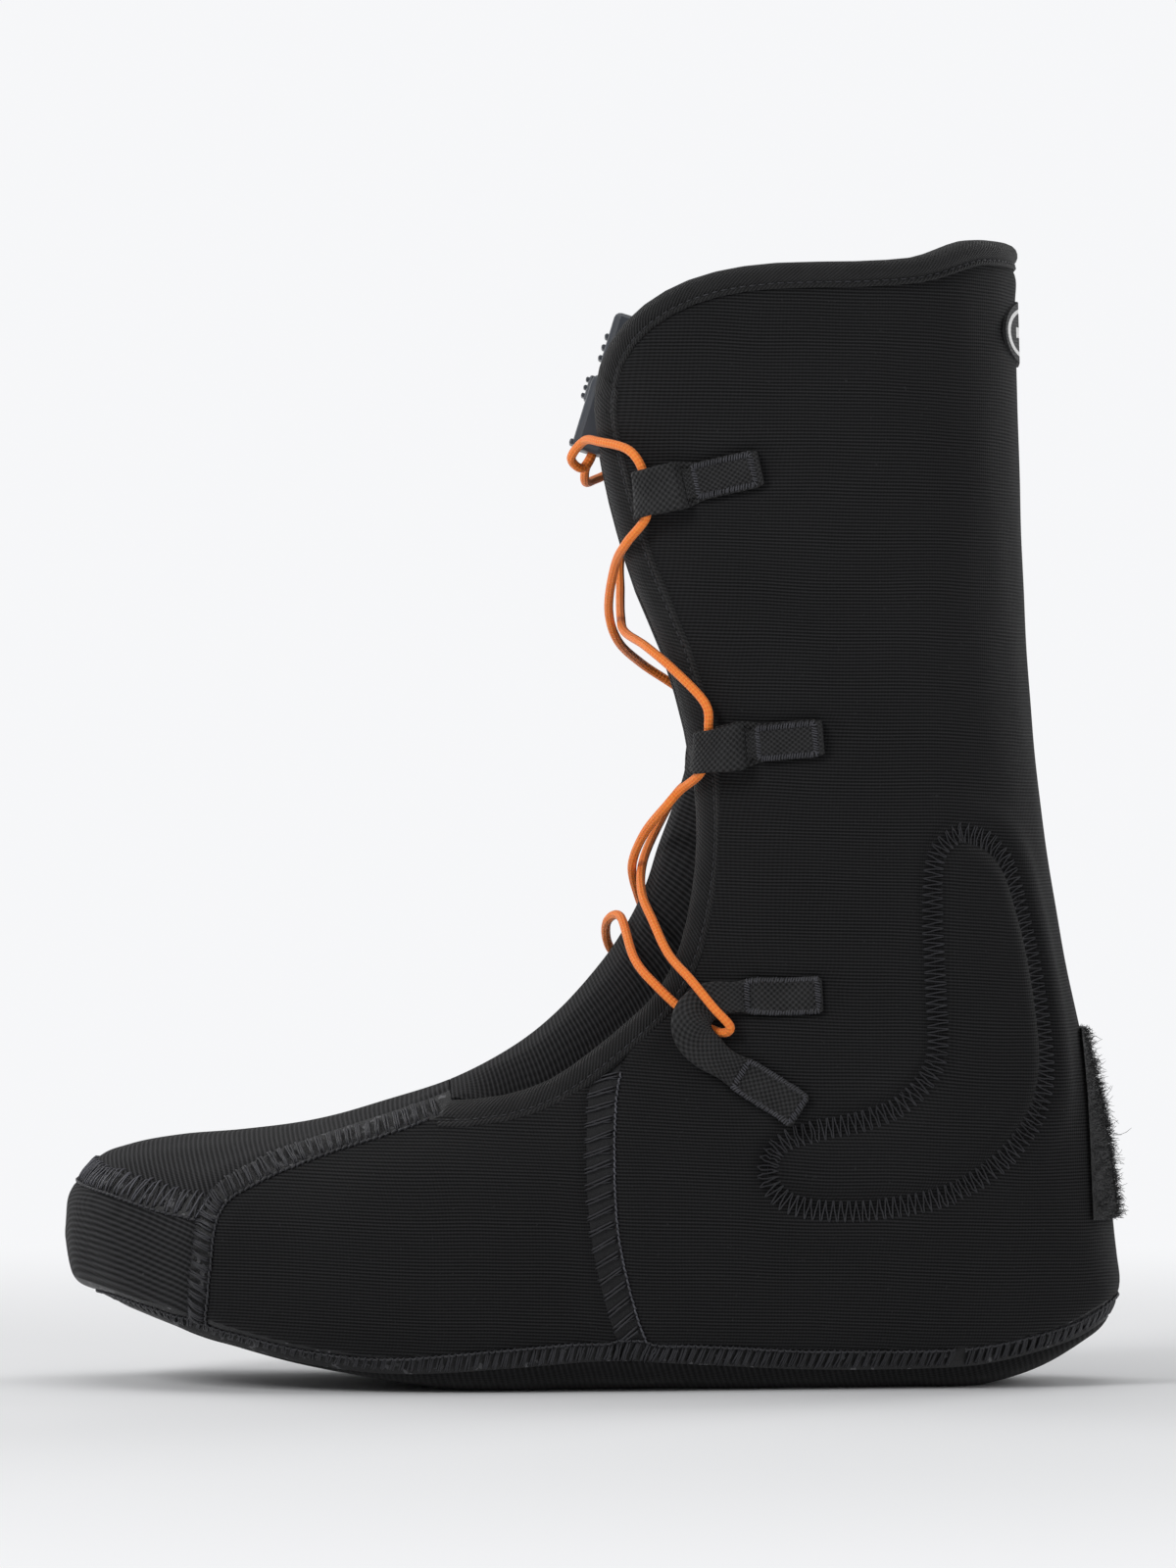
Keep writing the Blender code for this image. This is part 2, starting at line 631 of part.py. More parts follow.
def loop_strap(name, side, bight, tab, fold):
    """Webbing sewn down at the tab, run forward, folded round the lace and laid back on itself."""
    bight, tab, fold = Vector(bight), Vector(tab), Vector(fold).normalized()
    length = (tab - bight).length
    reach = (tab - bight) / length
    square = Vector((-reach.y, reach.x))
    radius = LACE_DIAMETER / 2 + 0.5 + WEBBING / 2
    profile = [(length, 1.0), (length * 0.75, 1.0), (length * 0.5, 1.0), (length * 0.25, 1.0), (2.0, BIGHT_RISE - radius)]
    profile += [(-radius * cos(radians(a)), BIGHT_RISE - radius * sin(radians(a))) for a in (60, 30, 0, -30, -60)]
    profile += [(1.5, BIGHT_RISE + radius), (5.0, 4.5), (8.5, 3.0), (12.0, 2.45), (length * 0.6, 2.45),
                (length * 0.8, 2.45), (length, 2.45)]
    path, across = [], []
    for s, h in profile:
        lie = fold.lerp(square, ease(s, 2, 9)).normalized()
        x, z = bight + reach * s
        (low, _), (high, _) = (on_side(x + lie.x * w, z + lie.y * w, side) for w in (-4, 4))
        base, normal = on_side(x, z, side)
        path.append(base + normal * h * MM)
        across.append((high - low).normalized())
    sections = []
    for i, (point, lie) in enumerate(zip(path, across)):
        tangent = path[min(i + 1, len(path) - 1)] - path[max(i - 1, 0)]
        out = lie.cross(tangent).normalized()
        w, t = lie * WEBBING_WIDTH * MM / 2, out * WEBBING * MM / 2
        sections.append([point - w - t, point + w - t, point + w + t, point - w + t])
    return sweep(name, sections, WEB)


def loop_arch(name, side, path, width):
    """Webbing sewn down at both ends, its middle turning and standing over the lace."""
    points = smooth_line(path, 2)
    places = [on_side(x, z, side, h) for x, z, h in points]
    sections = []
    for i, (point, normal) in enumerate(places):
        tangent = places[min(i + 1, len(places) - 1)][0] - places[max(i - 1, 0)][0]
        across = tangent.cross(normal).normalized()
        out = across.cross(tangent).normalized()
        w, t = across * width * MM / 2, out * WEBBING * MM / 2
        sections.append([point - w - t, point + w - t, point + w + t, point - w + t])
    return sweep(name, sections, WEB)


LOWER_ARCH = (
    (63.0, 107.8, 1.0), (53.0, 107.2, 1.0), (43.0, 107.0, 1.9), (34.5, 105.6, 3.7), (29.0, 101.6, 4.2),
    (28.6, 95.6, 4.1), (33.4, 90.6, 3.2), (41.0, 86.0, 1.6), (49.0, 81.0, 1.0), (57.0, 75.8, 1.0),
)
for side, word in ((LATERAL, "lateral"), (MEDIAL, "medial")):
    for level in ("upper", "middle"):
        loop = LOOPS[level]
        loop_strap(f"lace_loop_{level}_{word}", side, loop["bight"], loop["tab"], loop["fold"])
    loop_arch(f"lace_loop_lower_{word}", side, LOWER_ARCH, WEBBING_WIDTH - 0.6)


# The lace lock, in its own frame: z along the lace, x to the back, y across

LOCK = Matrix.Translation(metres(*LOCK_FOOT)) @ Matrix.Rotation(LOCK_TILT, 4, "Y")
CHANNEL_X = 1.3


def on_lock(x, y, z):
    return LOCK @ metres(x, y, z)


def block(name, low, high, round_off, look, segments=3, helper=False):
    made = box(name, low, high, helper, look)
    if round_off:
        bevel = made.modifiers.new("Rounding", "BEVEL")
        bevel.width = round_off * MM
        bevel.segments = segments
        bevel.limit_method = "ANGLE"
    made.matrix_world = LOCK
    return made


def rod(name, centre, radius, low, high, look=None, helper=True, segments=16):
    """A round bar along the lace's way through the lock."""
    bm = bmesh.new()
    bmesh.ops.create_cone(
        bm, cap_ends=True, segments=segments, radius1=radius * MM, radius2=radius * MM, depth=(high - low) * MM,
        matrix=Matrix.Translation(metres(*centre, (low + high) / 2)))
    made = add_object(name, mesh_from(bm, name), look, helper)
    made.matrix_world = LOCK
    return made


half_w, half_d = LOCK_WIDTH / 2, LOCK_DEPTH / 2
channels = [
    rod(f"lock_channel_{i}", (CHANNEL_X, y), LACE_DIAMETER / 2 + 0.4, -2, LOCK_LENGTH + 2)
    for i, y in enumerate((-LOCK_CHANNEL_Y, LOCK_CHANNEL_Y))
]
lock_body = block("lock_body", (-half_d, -half_w, 0), (half_d, half_w, LOCK_LENGTH), 2.0, PLASTIC)
thumb_slot = block("thumb_slot", (-half_d - 5, -6.9, 10.2), (-1.0, 6.9, LOCK_LENGTH + 5), 0, None, helper=True)
spring_well = rod("spring_well", (-2.9, 0), 1.55, 4.8, 11.0)
lip = block("lock_lip", (-half_d - 0.9, -half_w + 2.2, 0.8), (-half_d + 1.2, half_w - 2.2, 2.4), 0.5, None, 2, True)
bake(lip)
boolean(lock_body, "UNION", lip)
boolean(lock_body, "DIFFERENCE", thumb_slot, spring_well, *channels)
bake(lock_body)

# The thumb slider has three grip ribs, and a well for the spring.
slider_front = -half_d - 0.7
lock_slider = block("lock_slider", (slider_front, -6.5, 13.6), (-1.4, 6.5, LOCK_LENGTH - 0.5), 0.6, PLASTIC, 2)
ribs = []
for i in range(3):
    z = 14.3 + i * 2.3
    ribs.append(block(f"slider_rib_{i}", (slider_front - 0.9, -5.6, z), (slider_front + 0.8, 5.6, z + 1.1), 0.3,
                      None, 1, True))
    bake(ribs[-1])
slider_well = rod("slider_well", (-2.9, 0), 1.45, 12.0, 18.4)
boolean(lock_slider, "UNION", *ribs)
boolean(lock_slider, "DIFFERENCE", slider_well)
bake(lock_slider)

coil = bpy.data.curves.new("lock_spring", "CURVE")
coil.dimensions = "3D"
coil.bevel_depth = 0.2 * MM
coil.bevel_resolution = 0
coil.use_fill_caps = True
turns, per_turn = 5, 9
wire = coil.splines.new("POLY")
wire.points.add(turns * per_turn)
for i, point in enumerate(wire.points):
    a = 2 * pi * i / per_turn
    x, y, z = -2.9 + 1.0 * cos(a), 1.0 * sin(a), 8.4 + 9.6 * i / (turns * per_turn)
    point.co = (x * MM, y * MM, z * MM, 1)
lock_spring = add_object("lock_spring", coil, STEEL)
lock_spring.matrix_world = LOCK

# The pull handle holds the two knotted lace ends behind a cover.
low = LOCK_LENGTH + 2.6
high = low + HANDLE_LENGTH
hw, hd = HANDLE_WIDTH / 2, HANDLE_DEPTH / 2
pull_handle = block("pull_handle", (-hd, -hw, low), (hd, hw, high), 1.8, PLASTIC)
grips = []
for i in range(3):
    z = low + 1.6 + i * 3.1
    grips.append(block(f"handle_rib_{i}", (-hd - 1.0, -hw + 2.4, z), (-hd + 1.0, hw - 2.4, z + 1.3), 0.4,
                       None, 1, True))
    bake(grips[-1])
knot_room = block("knot_room", (-1.4, -8.2, low + 4.2), (hd + 3, 8.2, low + 11.6), 0, None, helper=True)
tail_holes = [
    rod(f"tail_hole_{i}", (CHANNEL_X, y), LACE_DIAMETER / 2 + 0.4, low - 2, low + 6)
    for i, y in enumerate((-LOCK_CHANNEL_Y, LOCK_CHANNEL_Y))
]
eye = block("handle_eye", (-hd - 3, -5.0, high - 3.4), (hd + 3, 5.0, high - 1.5), 0, None, helper=True)
boolean(pull_handle, "UNION", *grips)
boolean(pull_handle, "DIFFERENCE", knot_room, eye, *tail_holes)
bake(pull_handle)
handle_cover = block("handle_cover", (hd - 1.0, -7.8, low + 4.6), (hd - 0.1, 7.8, low + 11.2), 0.3, PLASTIC, 1)
bake(handle_cover)

for y, word in ((-LOCK_CHANNEL_Y, "lateral"), (LOCK_CHANNEL_Y, "medial")):
    tail = rod(f"lace_tail_{word}", (CHANNEL_X, y), LACE_DIAMETER / 2, LACE_IN_LOCK + 0.5, low + 6.6, CORD, False, 8)
    bm = bmesh.new()
    bmesh.ops.create_uvsphere(bm, u_segments=10, v_segments=6, radius=1.0 * MM, matrix=Matrix.Translation(
        metres(0.75, y, low + 7.9)) @ Matrix.Diagonal((1.7, 2.15, 2.15, 1)))
    knot = add_object(f"knot_{word}", mesh_from(bm, "knot"), helper=True)
    knot.matrix_world = LOCK
    boolean(tail, "UNION", knot)
    bake(tail)


# The lace, from the lock through the six loops and back to the lock

def over(side):
    return lambda x, z, height: on_side(x, z, side, height)[0]


def lace_route():
    lat, med = over(LATERAL), over(MEDIAL)
    at = metres
    y = LOCK_CHANNEL_Y
    rise = BIGHT_RISE
    return [
        on_lock(CHANNEL_X, -y, LACE_IN_LOCK), on_lock(CHANNEL_X, -y, 5), on_lock(CHANNEL_X, -y, -0.6),
        at(-2.6, -7.0, 251.9), at(-5.4, -11.0, 254.6), at(-1.8, -18.0, 259.0), lat(5.6, 258.9, 3.4),
        lat(12.6, 256.2, 3.8), lat(16.4, 250.6, rise), lat(17.0, 244.3, rise), lat(17.5, 238.0, rise),
        lat(12.8, 231.4, 3.7), at(6.6, -21.0, 224.8), at(4.9, -4.0, 213.4), at(7.4, 8.0, 204.8),
        at(14.0, 27.5, 198.8), med(25.5, 193.2, 3.6), med(33.2, 187.6, 3.9), med(34.2, 181.4, rise),
        med(33.6, 175.3, rise), med(32.8, 169.0, rise), med(27.6, 163.4, 3.9), at(20.4, 22.5, 156.6),
        at(14.7, 3.5, 144.6), lat(16.2, 134.4, 2.7), lat(18.3, 126.2, 3.0), lat(22.6, 117.2, 3.6),
        lat(29.2, 110.2, 6.3), lat(35.2, 103.2, 6.8), lat(38.8, 98.4, 4.4), lat(35.2, 97.2, 1.8),
        lat(27.5, 101.2, 1.8), lat(19.2, 108.6, 3.0), lat(13.2, 116.2, 2.8), at(8.2, -8.5, 128.4),
        at(4.4, 2.5, 126.8), at(5.2, 13.5, 119.8), med(13.0, 112.6, 2.8), med(19.2, 108.0, 3.0),
        med(27.5, 101.2, 1.8), med(35.2, 97.2, 1.8), med(38.8, 98.4, 4.4), med(35.2, 103.2, 6.8),
        med(29.2, 110.2, 6.3), med(22.6, 117.2, 3.6), med(17.6, 126.6, 3.0), at(12.9, 9.0, 134.8),
        at(11.4, -0.5, 142.8), at(14.8, -11.5, 151.6), at(20.8, -23.0, 159.2), lat(27.6, 163.8, 3.9),
        lat(32.8, 169.0, rise), lat(33.6, 175.3, rise), lat(34.2, 181.4, rise), lat(33.0, 187.8, 3.9),
        lat(26.0, 196.6, 3.8), at(15.0, -26.0, 202.6), at(9.4, -8.0, 206.8), at(8.3, 2.5, 211.0),
        at(8.2, 18.5, 218.8), med(12.6, 230.6, 4.2), med(17.5, 238.0, rise), med(17.0, 244.3, rise),
        med(16.4, 250.6, rise), med(11.6, 253.6, 3.8), med(4.8, 250.6, 3.6), at(-1.4, 14.0, 248.8),
        at(-1.5, 7.0, 252.2), on_lock(CHANNEL_X, y, -0.6), on_lock(CHANNEL_X, y, 5),
        on_lock(CHANNEL_X, y, LACE_IN_LOCK),
    ]


lace_line = thin_out(smooth_line([tuple(p) for p in lace_route()], 8), 0.34 * MM, 5 * LACE_DIAMETER * MM)
cord = bpy.data.curves.new("lace", "CURVE")
cord.dimensions = "3D"
cord.bevel_depth = LACE_DIAMETER / 2 * MM
cord.bevel_resolution = 2
cord.use_fill_caps = True
strand = cord.splines.new("POLY")
strand.points.add(len(lace_line) - 1)
for point, place in zip(strand.points, lace_line):
    point.co = (*place, 1)
lace = add_object("lace", cord, CORD)

# Round faces are shaded smooth, with their sharp edges kept.
for made in LINER.objects:
    if made.type == "MESH":
        made.data.shade_smooth()
        made.data.set_sharp_from_angle(angle=radians(35))
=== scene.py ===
"""The looks of the snowboard boot liner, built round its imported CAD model.

The toe points to -X, the heel to +X and Z is up; the lateral side is at -Y. Lines and sizes are
written in millimetres, as in the part's own script, and built in metres.
"""

from math import cos, pi, radians, sin

import bmesh
import bpy
import numpy as np
from mathutils import Matrix, Vector
from mathutils.bvhtree import BVHTree
from mathutils.kdtree import KDTree


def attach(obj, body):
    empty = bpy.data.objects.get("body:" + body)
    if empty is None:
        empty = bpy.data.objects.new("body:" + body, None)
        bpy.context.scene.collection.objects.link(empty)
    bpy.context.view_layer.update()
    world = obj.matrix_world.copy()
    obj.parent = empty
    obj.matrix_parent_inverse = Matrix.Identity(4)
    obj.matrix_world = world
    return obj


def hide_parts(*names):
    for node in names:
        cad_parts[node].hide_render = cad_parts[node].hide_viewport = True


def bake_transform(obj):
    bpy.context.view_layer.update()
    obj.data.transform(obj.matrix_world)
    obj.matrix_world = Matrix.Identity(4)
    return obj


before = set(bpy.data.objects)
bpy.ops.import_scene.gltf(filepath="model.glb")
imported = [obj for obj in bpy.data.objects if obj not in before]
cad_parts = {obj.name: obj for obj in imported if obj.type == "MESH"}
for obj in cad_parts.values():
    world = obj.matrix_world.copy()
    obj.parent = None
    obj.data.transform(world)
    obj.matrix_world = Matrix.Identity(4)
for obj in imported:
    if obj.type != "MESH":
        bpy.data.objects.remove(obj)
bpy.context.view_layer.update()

MM = 0.001
LACE_DIAMETER = 2.5
LATERAL, MEDIAL = -1, 1
SIDES = ((LATERAL, "lateral"), (MEDIAL, "medial"))
RANDOM = np.random.default_rng(7)
INSIDE_THE_BOOT = np.array([0, 0, 0.06])
SHARP_EDGE = radians(50)
SCRAP = 400             # a loose body with fewer points is a shaving from a cut
CAMERA_AWAY = 2.4       # metres
PICTURE_WIDTH = 0.4328  # metres, at the boot
SENSOR_WIDTH = 36

# The camera looks straight at the lateral side, from far away.
camera = bpy.data.objects.new("camera", bpy.data.cameras.new("camera"))
bpy.context.scene.collection.objects.link(camera)
bpy.context.scene.camera = camera
bpy.context.scene.view_settings.view_transform = "Standard"
camera.location = (-0.0008, -CAMERA_AWAY, 0.165)
camera.rotation_euler = (pi / 2, 0, 0)
camera.data.lens = SENSOR_WIDTH * CAMERA_AWAY / PICTURE_WIDTH
camera.data.clip_end = 50


# The body, as in the part

RINGS = np.array((
    (-145.3, 43.0, -145.3, 39.0, 3.0, 8.0, 0.50, 2.0, 2.0),
    (-143.4, 52.5, -142.6, 29.5, 19.0, 8.0, 0.50, 2.4, 2.6),
    (-137.5, 60.5, -136.0, 25.5, 30.5, 7.5, 0.50, 2.5, 3.0),
    (-127.0, 65.5, -125.5, 20.5, 39.5, 6.0, 0.48, 2.5, 3.4),
    (-113.0, 68.0, -112.0, 15.5, 46.0, 4.5, 0.46, 2.5, 3.6),
    (-96.0, 69.5, -96.0, 10.5, 50.0, 2.5, 0.45, 2.4, 3.8),
    (-77.0, 72.0, -77.0, 5.5, 52.5, 0.6, 0.44, 2.3, 4.0),
    (-57.0, 77.5, -55.0, 1.5, 53.0, -0.8, 0.42, 2.2, 4.2),
    (-38.0, 84.0, -30.0, -0.8, 51.0, -2.0, 0.40, 2.1, 4.4),
    (-21.0, 93.0, -3.0, -0.8, 47.5, -2.2, 0.38, 2.0, 4.4),
    (-8.0, 103.5, 25.0, -0.8, 44.5, -2.0, 0.37, 2.0, 4.2),
    (3.0, 116.0, 55.0, -0.8, 42.5, -1.5, 0.38, 2.0, 4.0),
    (10.0, 127.0, 83.0, -0.8, 41.5, -1.0, 0.40, 2.0, 3.6),
    (15.0, 137.5, 107.0, -0.4, 41.5, -0.5, 0.43, 2.0, 3.2),
    (18.0, 148.0, 129.0, 7.2, 42.0, 0.0, 0.46, 2.0, 2.9),
    (19.7, 158.5, 144.2, 22.0, 42.3, 0.0, 0.50, 2.0, 2.7),
    (19.8, 169.5, 143.9, 46.0, 42.8, 0.0, 0.52, 2.0, 2.6),
    (18.0, 181.0, 140.7, 70.0, 43.5, 0.0, 0.52, 2.05, 2.5),
    (14.0, 194.0, 135.2, 96.0, 44.5, 0.0, 0.52, 2.1, 2.4),
    (8.6, 209.0, 129.4, 124.0, 46.0, 0.0, 0.50, 2.1, 2.3),
    (3.8, 226.0, 124.2, 156.0, 47.5, 0.0, 0.50, 2.15, 2.3),
    (0.0, 244.0, 120.8, 192.0, 49.0, 0.0, 0.50, 2.2, 2.3),
    (-2.3, 262.0, 118.6, 228.0, 50.5, 0.0, 0.50, 2.2, 2.3),
    (-3.2, 282.0, 117.6, 264.0, 52.0, 0.0, 0.50, 2.2, 2.3),
    (-3.3, 304.0, 116.6, 300.0, 53.0, 0.0, 0.50, 2.2, 2.3),
    (-3.3, 326.0, 116.0, 324.0, 53.5, 0.0, 0.50, 2.2, 2.3),
))
LAST_RING = len(RINGS) - 1
SOLE_LINE = (
    (-156, 28), (-141, 26.5), (-125, 22.5), (-111, 19), (-92, 13.5), (-73, 9.5), (-50, 7.8), (-19, 9.7),
    (4, 11.3), (26, 10.3), (60, 8.4), (92, 8.4), (110, 9.9), (130, 15), (141, 20.5), (156, 27),
)
CAP_LINE = ((-156, 62), (-143, 58.8), (-130, 55.6), (-118, 52.2), (-103.5, 49.2))
FOREFOOT_LINE = (
    (-107, 18), (-106.3, 30), (-104.8, 43), (-103.3, 50), (-98, 55.8), (-86, 62.2), (-73, 66.8),
    (-50, 74.2), (-36, 79.4), (-27, 84),
)
QUARTER_LINE = ((12, 11), (7.5, 25), (3.8, 42), (2.4, 61), (3.2, 82), (7.0, 97), (12, 110))
EDGE_LINE = (
    (-37.3, 79.3), (-24, 80.8), (-11.6, 85), (-0.8, 92.3), (10, 101.2), (18.1, 109.5), (23.7, 121), (27, 136),
    (28.2, 150), (27.6, 164), (25.2, 180), (19.5, 200), (11.9, 218), (6.6, 235), (2.8, 251), (0.6, 267),
    (2.0, 280), (8.8, 291), (19.5, 298.8), (33, 303.6), (50, 305.8), (72, 306.3), (88, 307.6),
    (97, 310.4), (104.5, 313), (113, 313.4), (130, 313.4),
)
ANKLE_PAD = (
    (101, 152), (95.8, 148.7), (93.2, 142.8), (92.7, 130), (93.5, 112), (94.2, 94), (91.5, 85.5), (84, 77.8),
    (73.6, 73.5), (58, 70.2), (50.6, 66.5), (48, 61), (49.5, 55), (56, 50.5), (70, 49), (86.9, 50.9),
    (98.8, 54.3), (109.2, 60.6), (117.3, 68.7), (122.5, 77.6), (124.4, 88), (123.5, 101), (121, 117),
    (117.5, 132), (114, 142.8), (108.5, 149.4),
)


def metres(*values):
    return Vector([v * MM for v in values])


def along(points, position):
    """The Catmull-Rom curve through the points, at positions counted in points."""
    points, position = np.asarray(points, float), np.asarray(position, float)
    last = len(points) - 1
    i = np.clip(position.astype(int), 0, last - 1)
    f = (position - i)[..., None]
    a, b, c, d = (points[np.clip(i + k, 0, last)] for k in (-1, 0, 1, 2))
    return 0.5 * (2 * b + (c - a) * f + (2 * a - 5 * b + 4 * c - d) * f ** 2
                  + (3 * b - a - 3 * c + d) * f ** 3)


def smooth_line(points, per_span=2):
    spans = len(points) - 1
    return along(points, np.linspace(0, spans, spans * per_span + 1))


def lengths(points):
    return np.concatenate([[0], np.cumsum(np.linalg.norm(np.diff(points, axis=0), axis=1))])


def between(where, known, rows):
    """The rows of a table, read between the known places of its rows."""
    return np.stack([np.interp(where, known, column) for column in rows.T], axis=-1)


def at_lengths(points, where):
    """Places at the given lengths along a line of points."""
    return between(where, lengths(points), points)


def even(points, step):
    total = lengths(points)[-1]
    return at_lengths(points, np.linspace(0, total, max(int(round(total / step)), 1) + 1))


def offset_line(points, distance):
    """A side-view line moved to its left by a distance."""
    points = np.asarray(points, float)
    first, last = points[1:2] - points[:1], points[-1:] - points[-2:-1]
    tangent = np.concatenate([first, points[2:] - points[:-2], last])
    tangent /= np.linalg.norm(tangent, axis=1)[:, None]
    return points + distance * np.stack([-tangent[:, 1], tangent[:, 0]], axis=1)


def ease(x, low, high):
    f = np.clip((np.asarray(x, float) - low) / (high - low), 0, 1)
    return f * f * (3 - 2 * f)


def unit(v):
    return v / np.maximum(np.linalg.norm(v, axis=-1), 1e-12)[..., None]


def body_points(ring, angle):
    """Points of the body's outer surface, in metres. The angle runs from the front round the medial side."""
    ring, angle = np.broadcast_arrays(np.asarray(ring, float), np.asarray(angle, float))
    fx, fz, bx, bz, width, shift, widest, front, back = np.moveaxis(along(RINGS, ring), -1, 0)
    c, s = np.cos(angle), np.sin(angle)
    power = 2 / np.where(c > 0, front, back)
    up = np.abs(c) ** power * np.where(c > 0, 1 - widest, -widest) + widest
    out = np.abs(s) ** power * np.where(s > 0, 1, -1)
    return np.stack([bx + (fx - bx) * up, shift + width * out, bz + (fz - bz) * up], axis=-1) * MM


def body_normals(ring, angle):
    along_ring = body_points(ring, angle + 0.01) - body_points(ring, angle - 0.01)
    return unit(np.cross(body_points(ring + 0.02, angle) - body_points(ring - 0.02, angle), along_ring))


# Making objects

def link(name, mesh, look=None):
    made = bpy.data.objects.new(name, mesh)
    bpy.context.scene.collection.objects.link(made)
    if look:
        mesh.materials.clear()
        mesh.materials.append(look)
    return made


def mesh_of(name, points, faces, uvs=None):
    """A mesh of points and faces; uvs are one pair for each corner of each face."""
    mesh = bpy.data.meshes.new(name)
    mesh.from_pydata(np.asarray(points, float).reshape(-1, 3).tolist(), [], faces)
    if uvs is not None:
        layer = mesh.uv_layers.new(name="weave")
        layer.data.foreach_set("uv", np.asarray(uvs, np.float32).ravel())
    mesh.validate()
    mesh.shade_smooth()
    return mesh


def band_faces(low, high):
    """The faces between rows of point numbers, closed round each row."""
    quads = np.stack([low, np.roll(low, -1, -1), np.roll(high, -1, -1), high], axis=-1)
    return quads.reshape(-1, 4).tolist()


def grid_faces(rows, around):
    """The faces of a grid that is closed round each row, and the grid of its points' numbers."""
    index = np.arange(rows * around).reshape(rows, around)
    return band_faces(index[:-1], index[1:]), index


def sweep(name, sections, look):
    """A solid through matching rings of points. Its UVs run along it and round it, in metres."""
    sections = np.asarray(sections, float)
    n, k = sections.shape[:2]
    faces, index = grid_faces(n, k)
    u = lengths(sections.mean(axis=1))
    sides = np.linalg.norm(np.roll(sections, -1, 1) - sections, axis=2)
    v = np.concatenate([[0], np.cumsum(sides.mean(axis=0))])
    i, j = np.divmod(np.arange((n - 1) * k), k)
    uvs = np.stack([np.stack([u[i], v[j]], 1), np.stack([u[i], v[j + 1]], 1),
                    np.stack([u[i + 1], v[j + 1]], 1), np.stack([u[i + 1], v[j]], 1)], axis=1).reshape(-1, 2)
    faces += [index[0][::-1].tolist(), index[-1].tolist()]
    uvs = np.concatenate([uvs, np.zeros((2 * k, 2))])
    made = link(name, mesh_of(name, sections, faces, uvs), look)
    outward(made)
    return made


def outward(obj):
    bm = bmesh.new()
    bm.from_mesh(obj.data)
    bmesh.ops.recalc_face_normals(bm, faces=bm.faces)
    bm.to_mesh(obj.data)
    bm.free()


def threads(name, paths, ups, radius, look, sides=6):
    """Many short lengths of thread as one mesh. paths are (stitches, points, 3)."""
    paths, ups = np.asarray(paths, float), np.asarray(ups, float)
    n, k = paths.shape[:2]
    tangent = unit(np.gradient(paths, axis=1))
    across = unit(np.cross(tangent, ups))
    out = np.cross(across, tangent)
    size = radius * np.concatenate([[0.55], np.ones(k - 2), [0.55]])[None, :, None, None]
    a = 2 * pi * np.arange(sides)[:, None] / sides
    rings = paths[:, :, None] + size * (np.cos(a) * across[:, :, None] + np.sin(a) * out[:, :, None])
    index = np.arange(n * k * sides).reshape(n, k, sides)
    quads = band_faces(index[:, :-1], index[:, 1:])
    ends = index[:, 0, ::-1].tolist() + index[:, -1].tolist()
    made = link(name, mesh_of(name, rings, quads + ends), look)
    outward(made)
    return made


def joined(name, objects):
    """One object of several."""
    with bpy.context.temp_override(active_object=objects[0], selected_editable_objects=objects,
                                   selected_objects=objects, object=objects[0]):
        bpy.ops.object.join()
    objects[0].name = objects[0].data.name = name
    return objects[0]


def evaluated(obj):
    graph = bpy.context.evaluated_depsgraph_get()
    graph.update()
    mesh = bpy.data.meshes.new_from_object(obj.evaluated_get(graph))
    mesh.transform(obj.matrix_world)
    return mesh


def boolean(obj, operation, *cutters):
    for cutter in cutters:
        modifier = obj.modifiers.new(operation.title(), "BOOLEAN")
        modifier.operation = operation
        modifier.solver = "MANIFOLD"
        modifier.object = cutter
    obj.data = evaluated(obj)
    obj.modifiers.clear()
    obj.matrix_world = Matrix.Identity(4)
    return obj


def copy_of(obj, name):
    return link(name, obj.data.copy())


def remove(*objects):
    for obj in objects:
        bpy.data.objects.remove(obj, do_unlink=True)


def prism(name, outline, half_depth=90.0):
    """A side-view outline carried straight through the boot, as a cutter."""
    curve = bpy.data.curves.new(name, "CURVE")
    curve.dimensions = "2D"
    curve.fill_mode = "BOTH"
    curve.extrude = half_depth * MM
    spline = curve.splines.new("POLY")
    spline.points.add(len(outline) - 1)
    for point, (x, z) in zip(spline.points, outline):
        point.co = (x * MM, z * MM, 0, 1)
    spline.use_cyclic_u = True
    flat = link(name + "_outline", curve)
    flat.rotation_euler = (pi / 2, 0, 0)
    bpy.context.view_layer.update()
    mesh = evaluated(flat)
    remove(flat)
    bm = bmesh.new()
    bm.from_mesh(mesh)
    bmesh.ops.remove_doubles(bm, verts=bm.verts, dist=1e-7)
    bmesh.ops.recalc_face_normals(bm, faces=bm.faces)
    bm.to_mesh(mesh)
    bm.free()
    return link(name, mesh)


def seam_band(name, line, half_width):
    smooth = smooth_line(line, 6)
    sides = offset_line(smooth, half_width), offset_line(smooth, -half_width)[::-1]
    return prism(name, np.concatenate(sides))


def box(name, low, high):
    bm = bmesh.new()
    bmesh.ops.create_cube(bm, size=1)
    low, high = metres(*low), metres(*high)
    for v in bm.verts:
        v.co = Vector([(a + b) / 2 + c * (b - a) for a, b, c in zip(low, high, v.co)])
    mesh = bpy.data.meshes.new(name)
    bm.to_mesh(mesh)
    bm.free()
    return link(name, mesh)


def surfaced(obj, look):
    """One material all over, shaded smooth up to the sharp edges."""
    obj.data.materials.clear()
    obj.data.materials.append(look)
    obj.data.shade_smooth()
    obj.data.set_sharp_from_angle(angle=SHARP_EDGE)


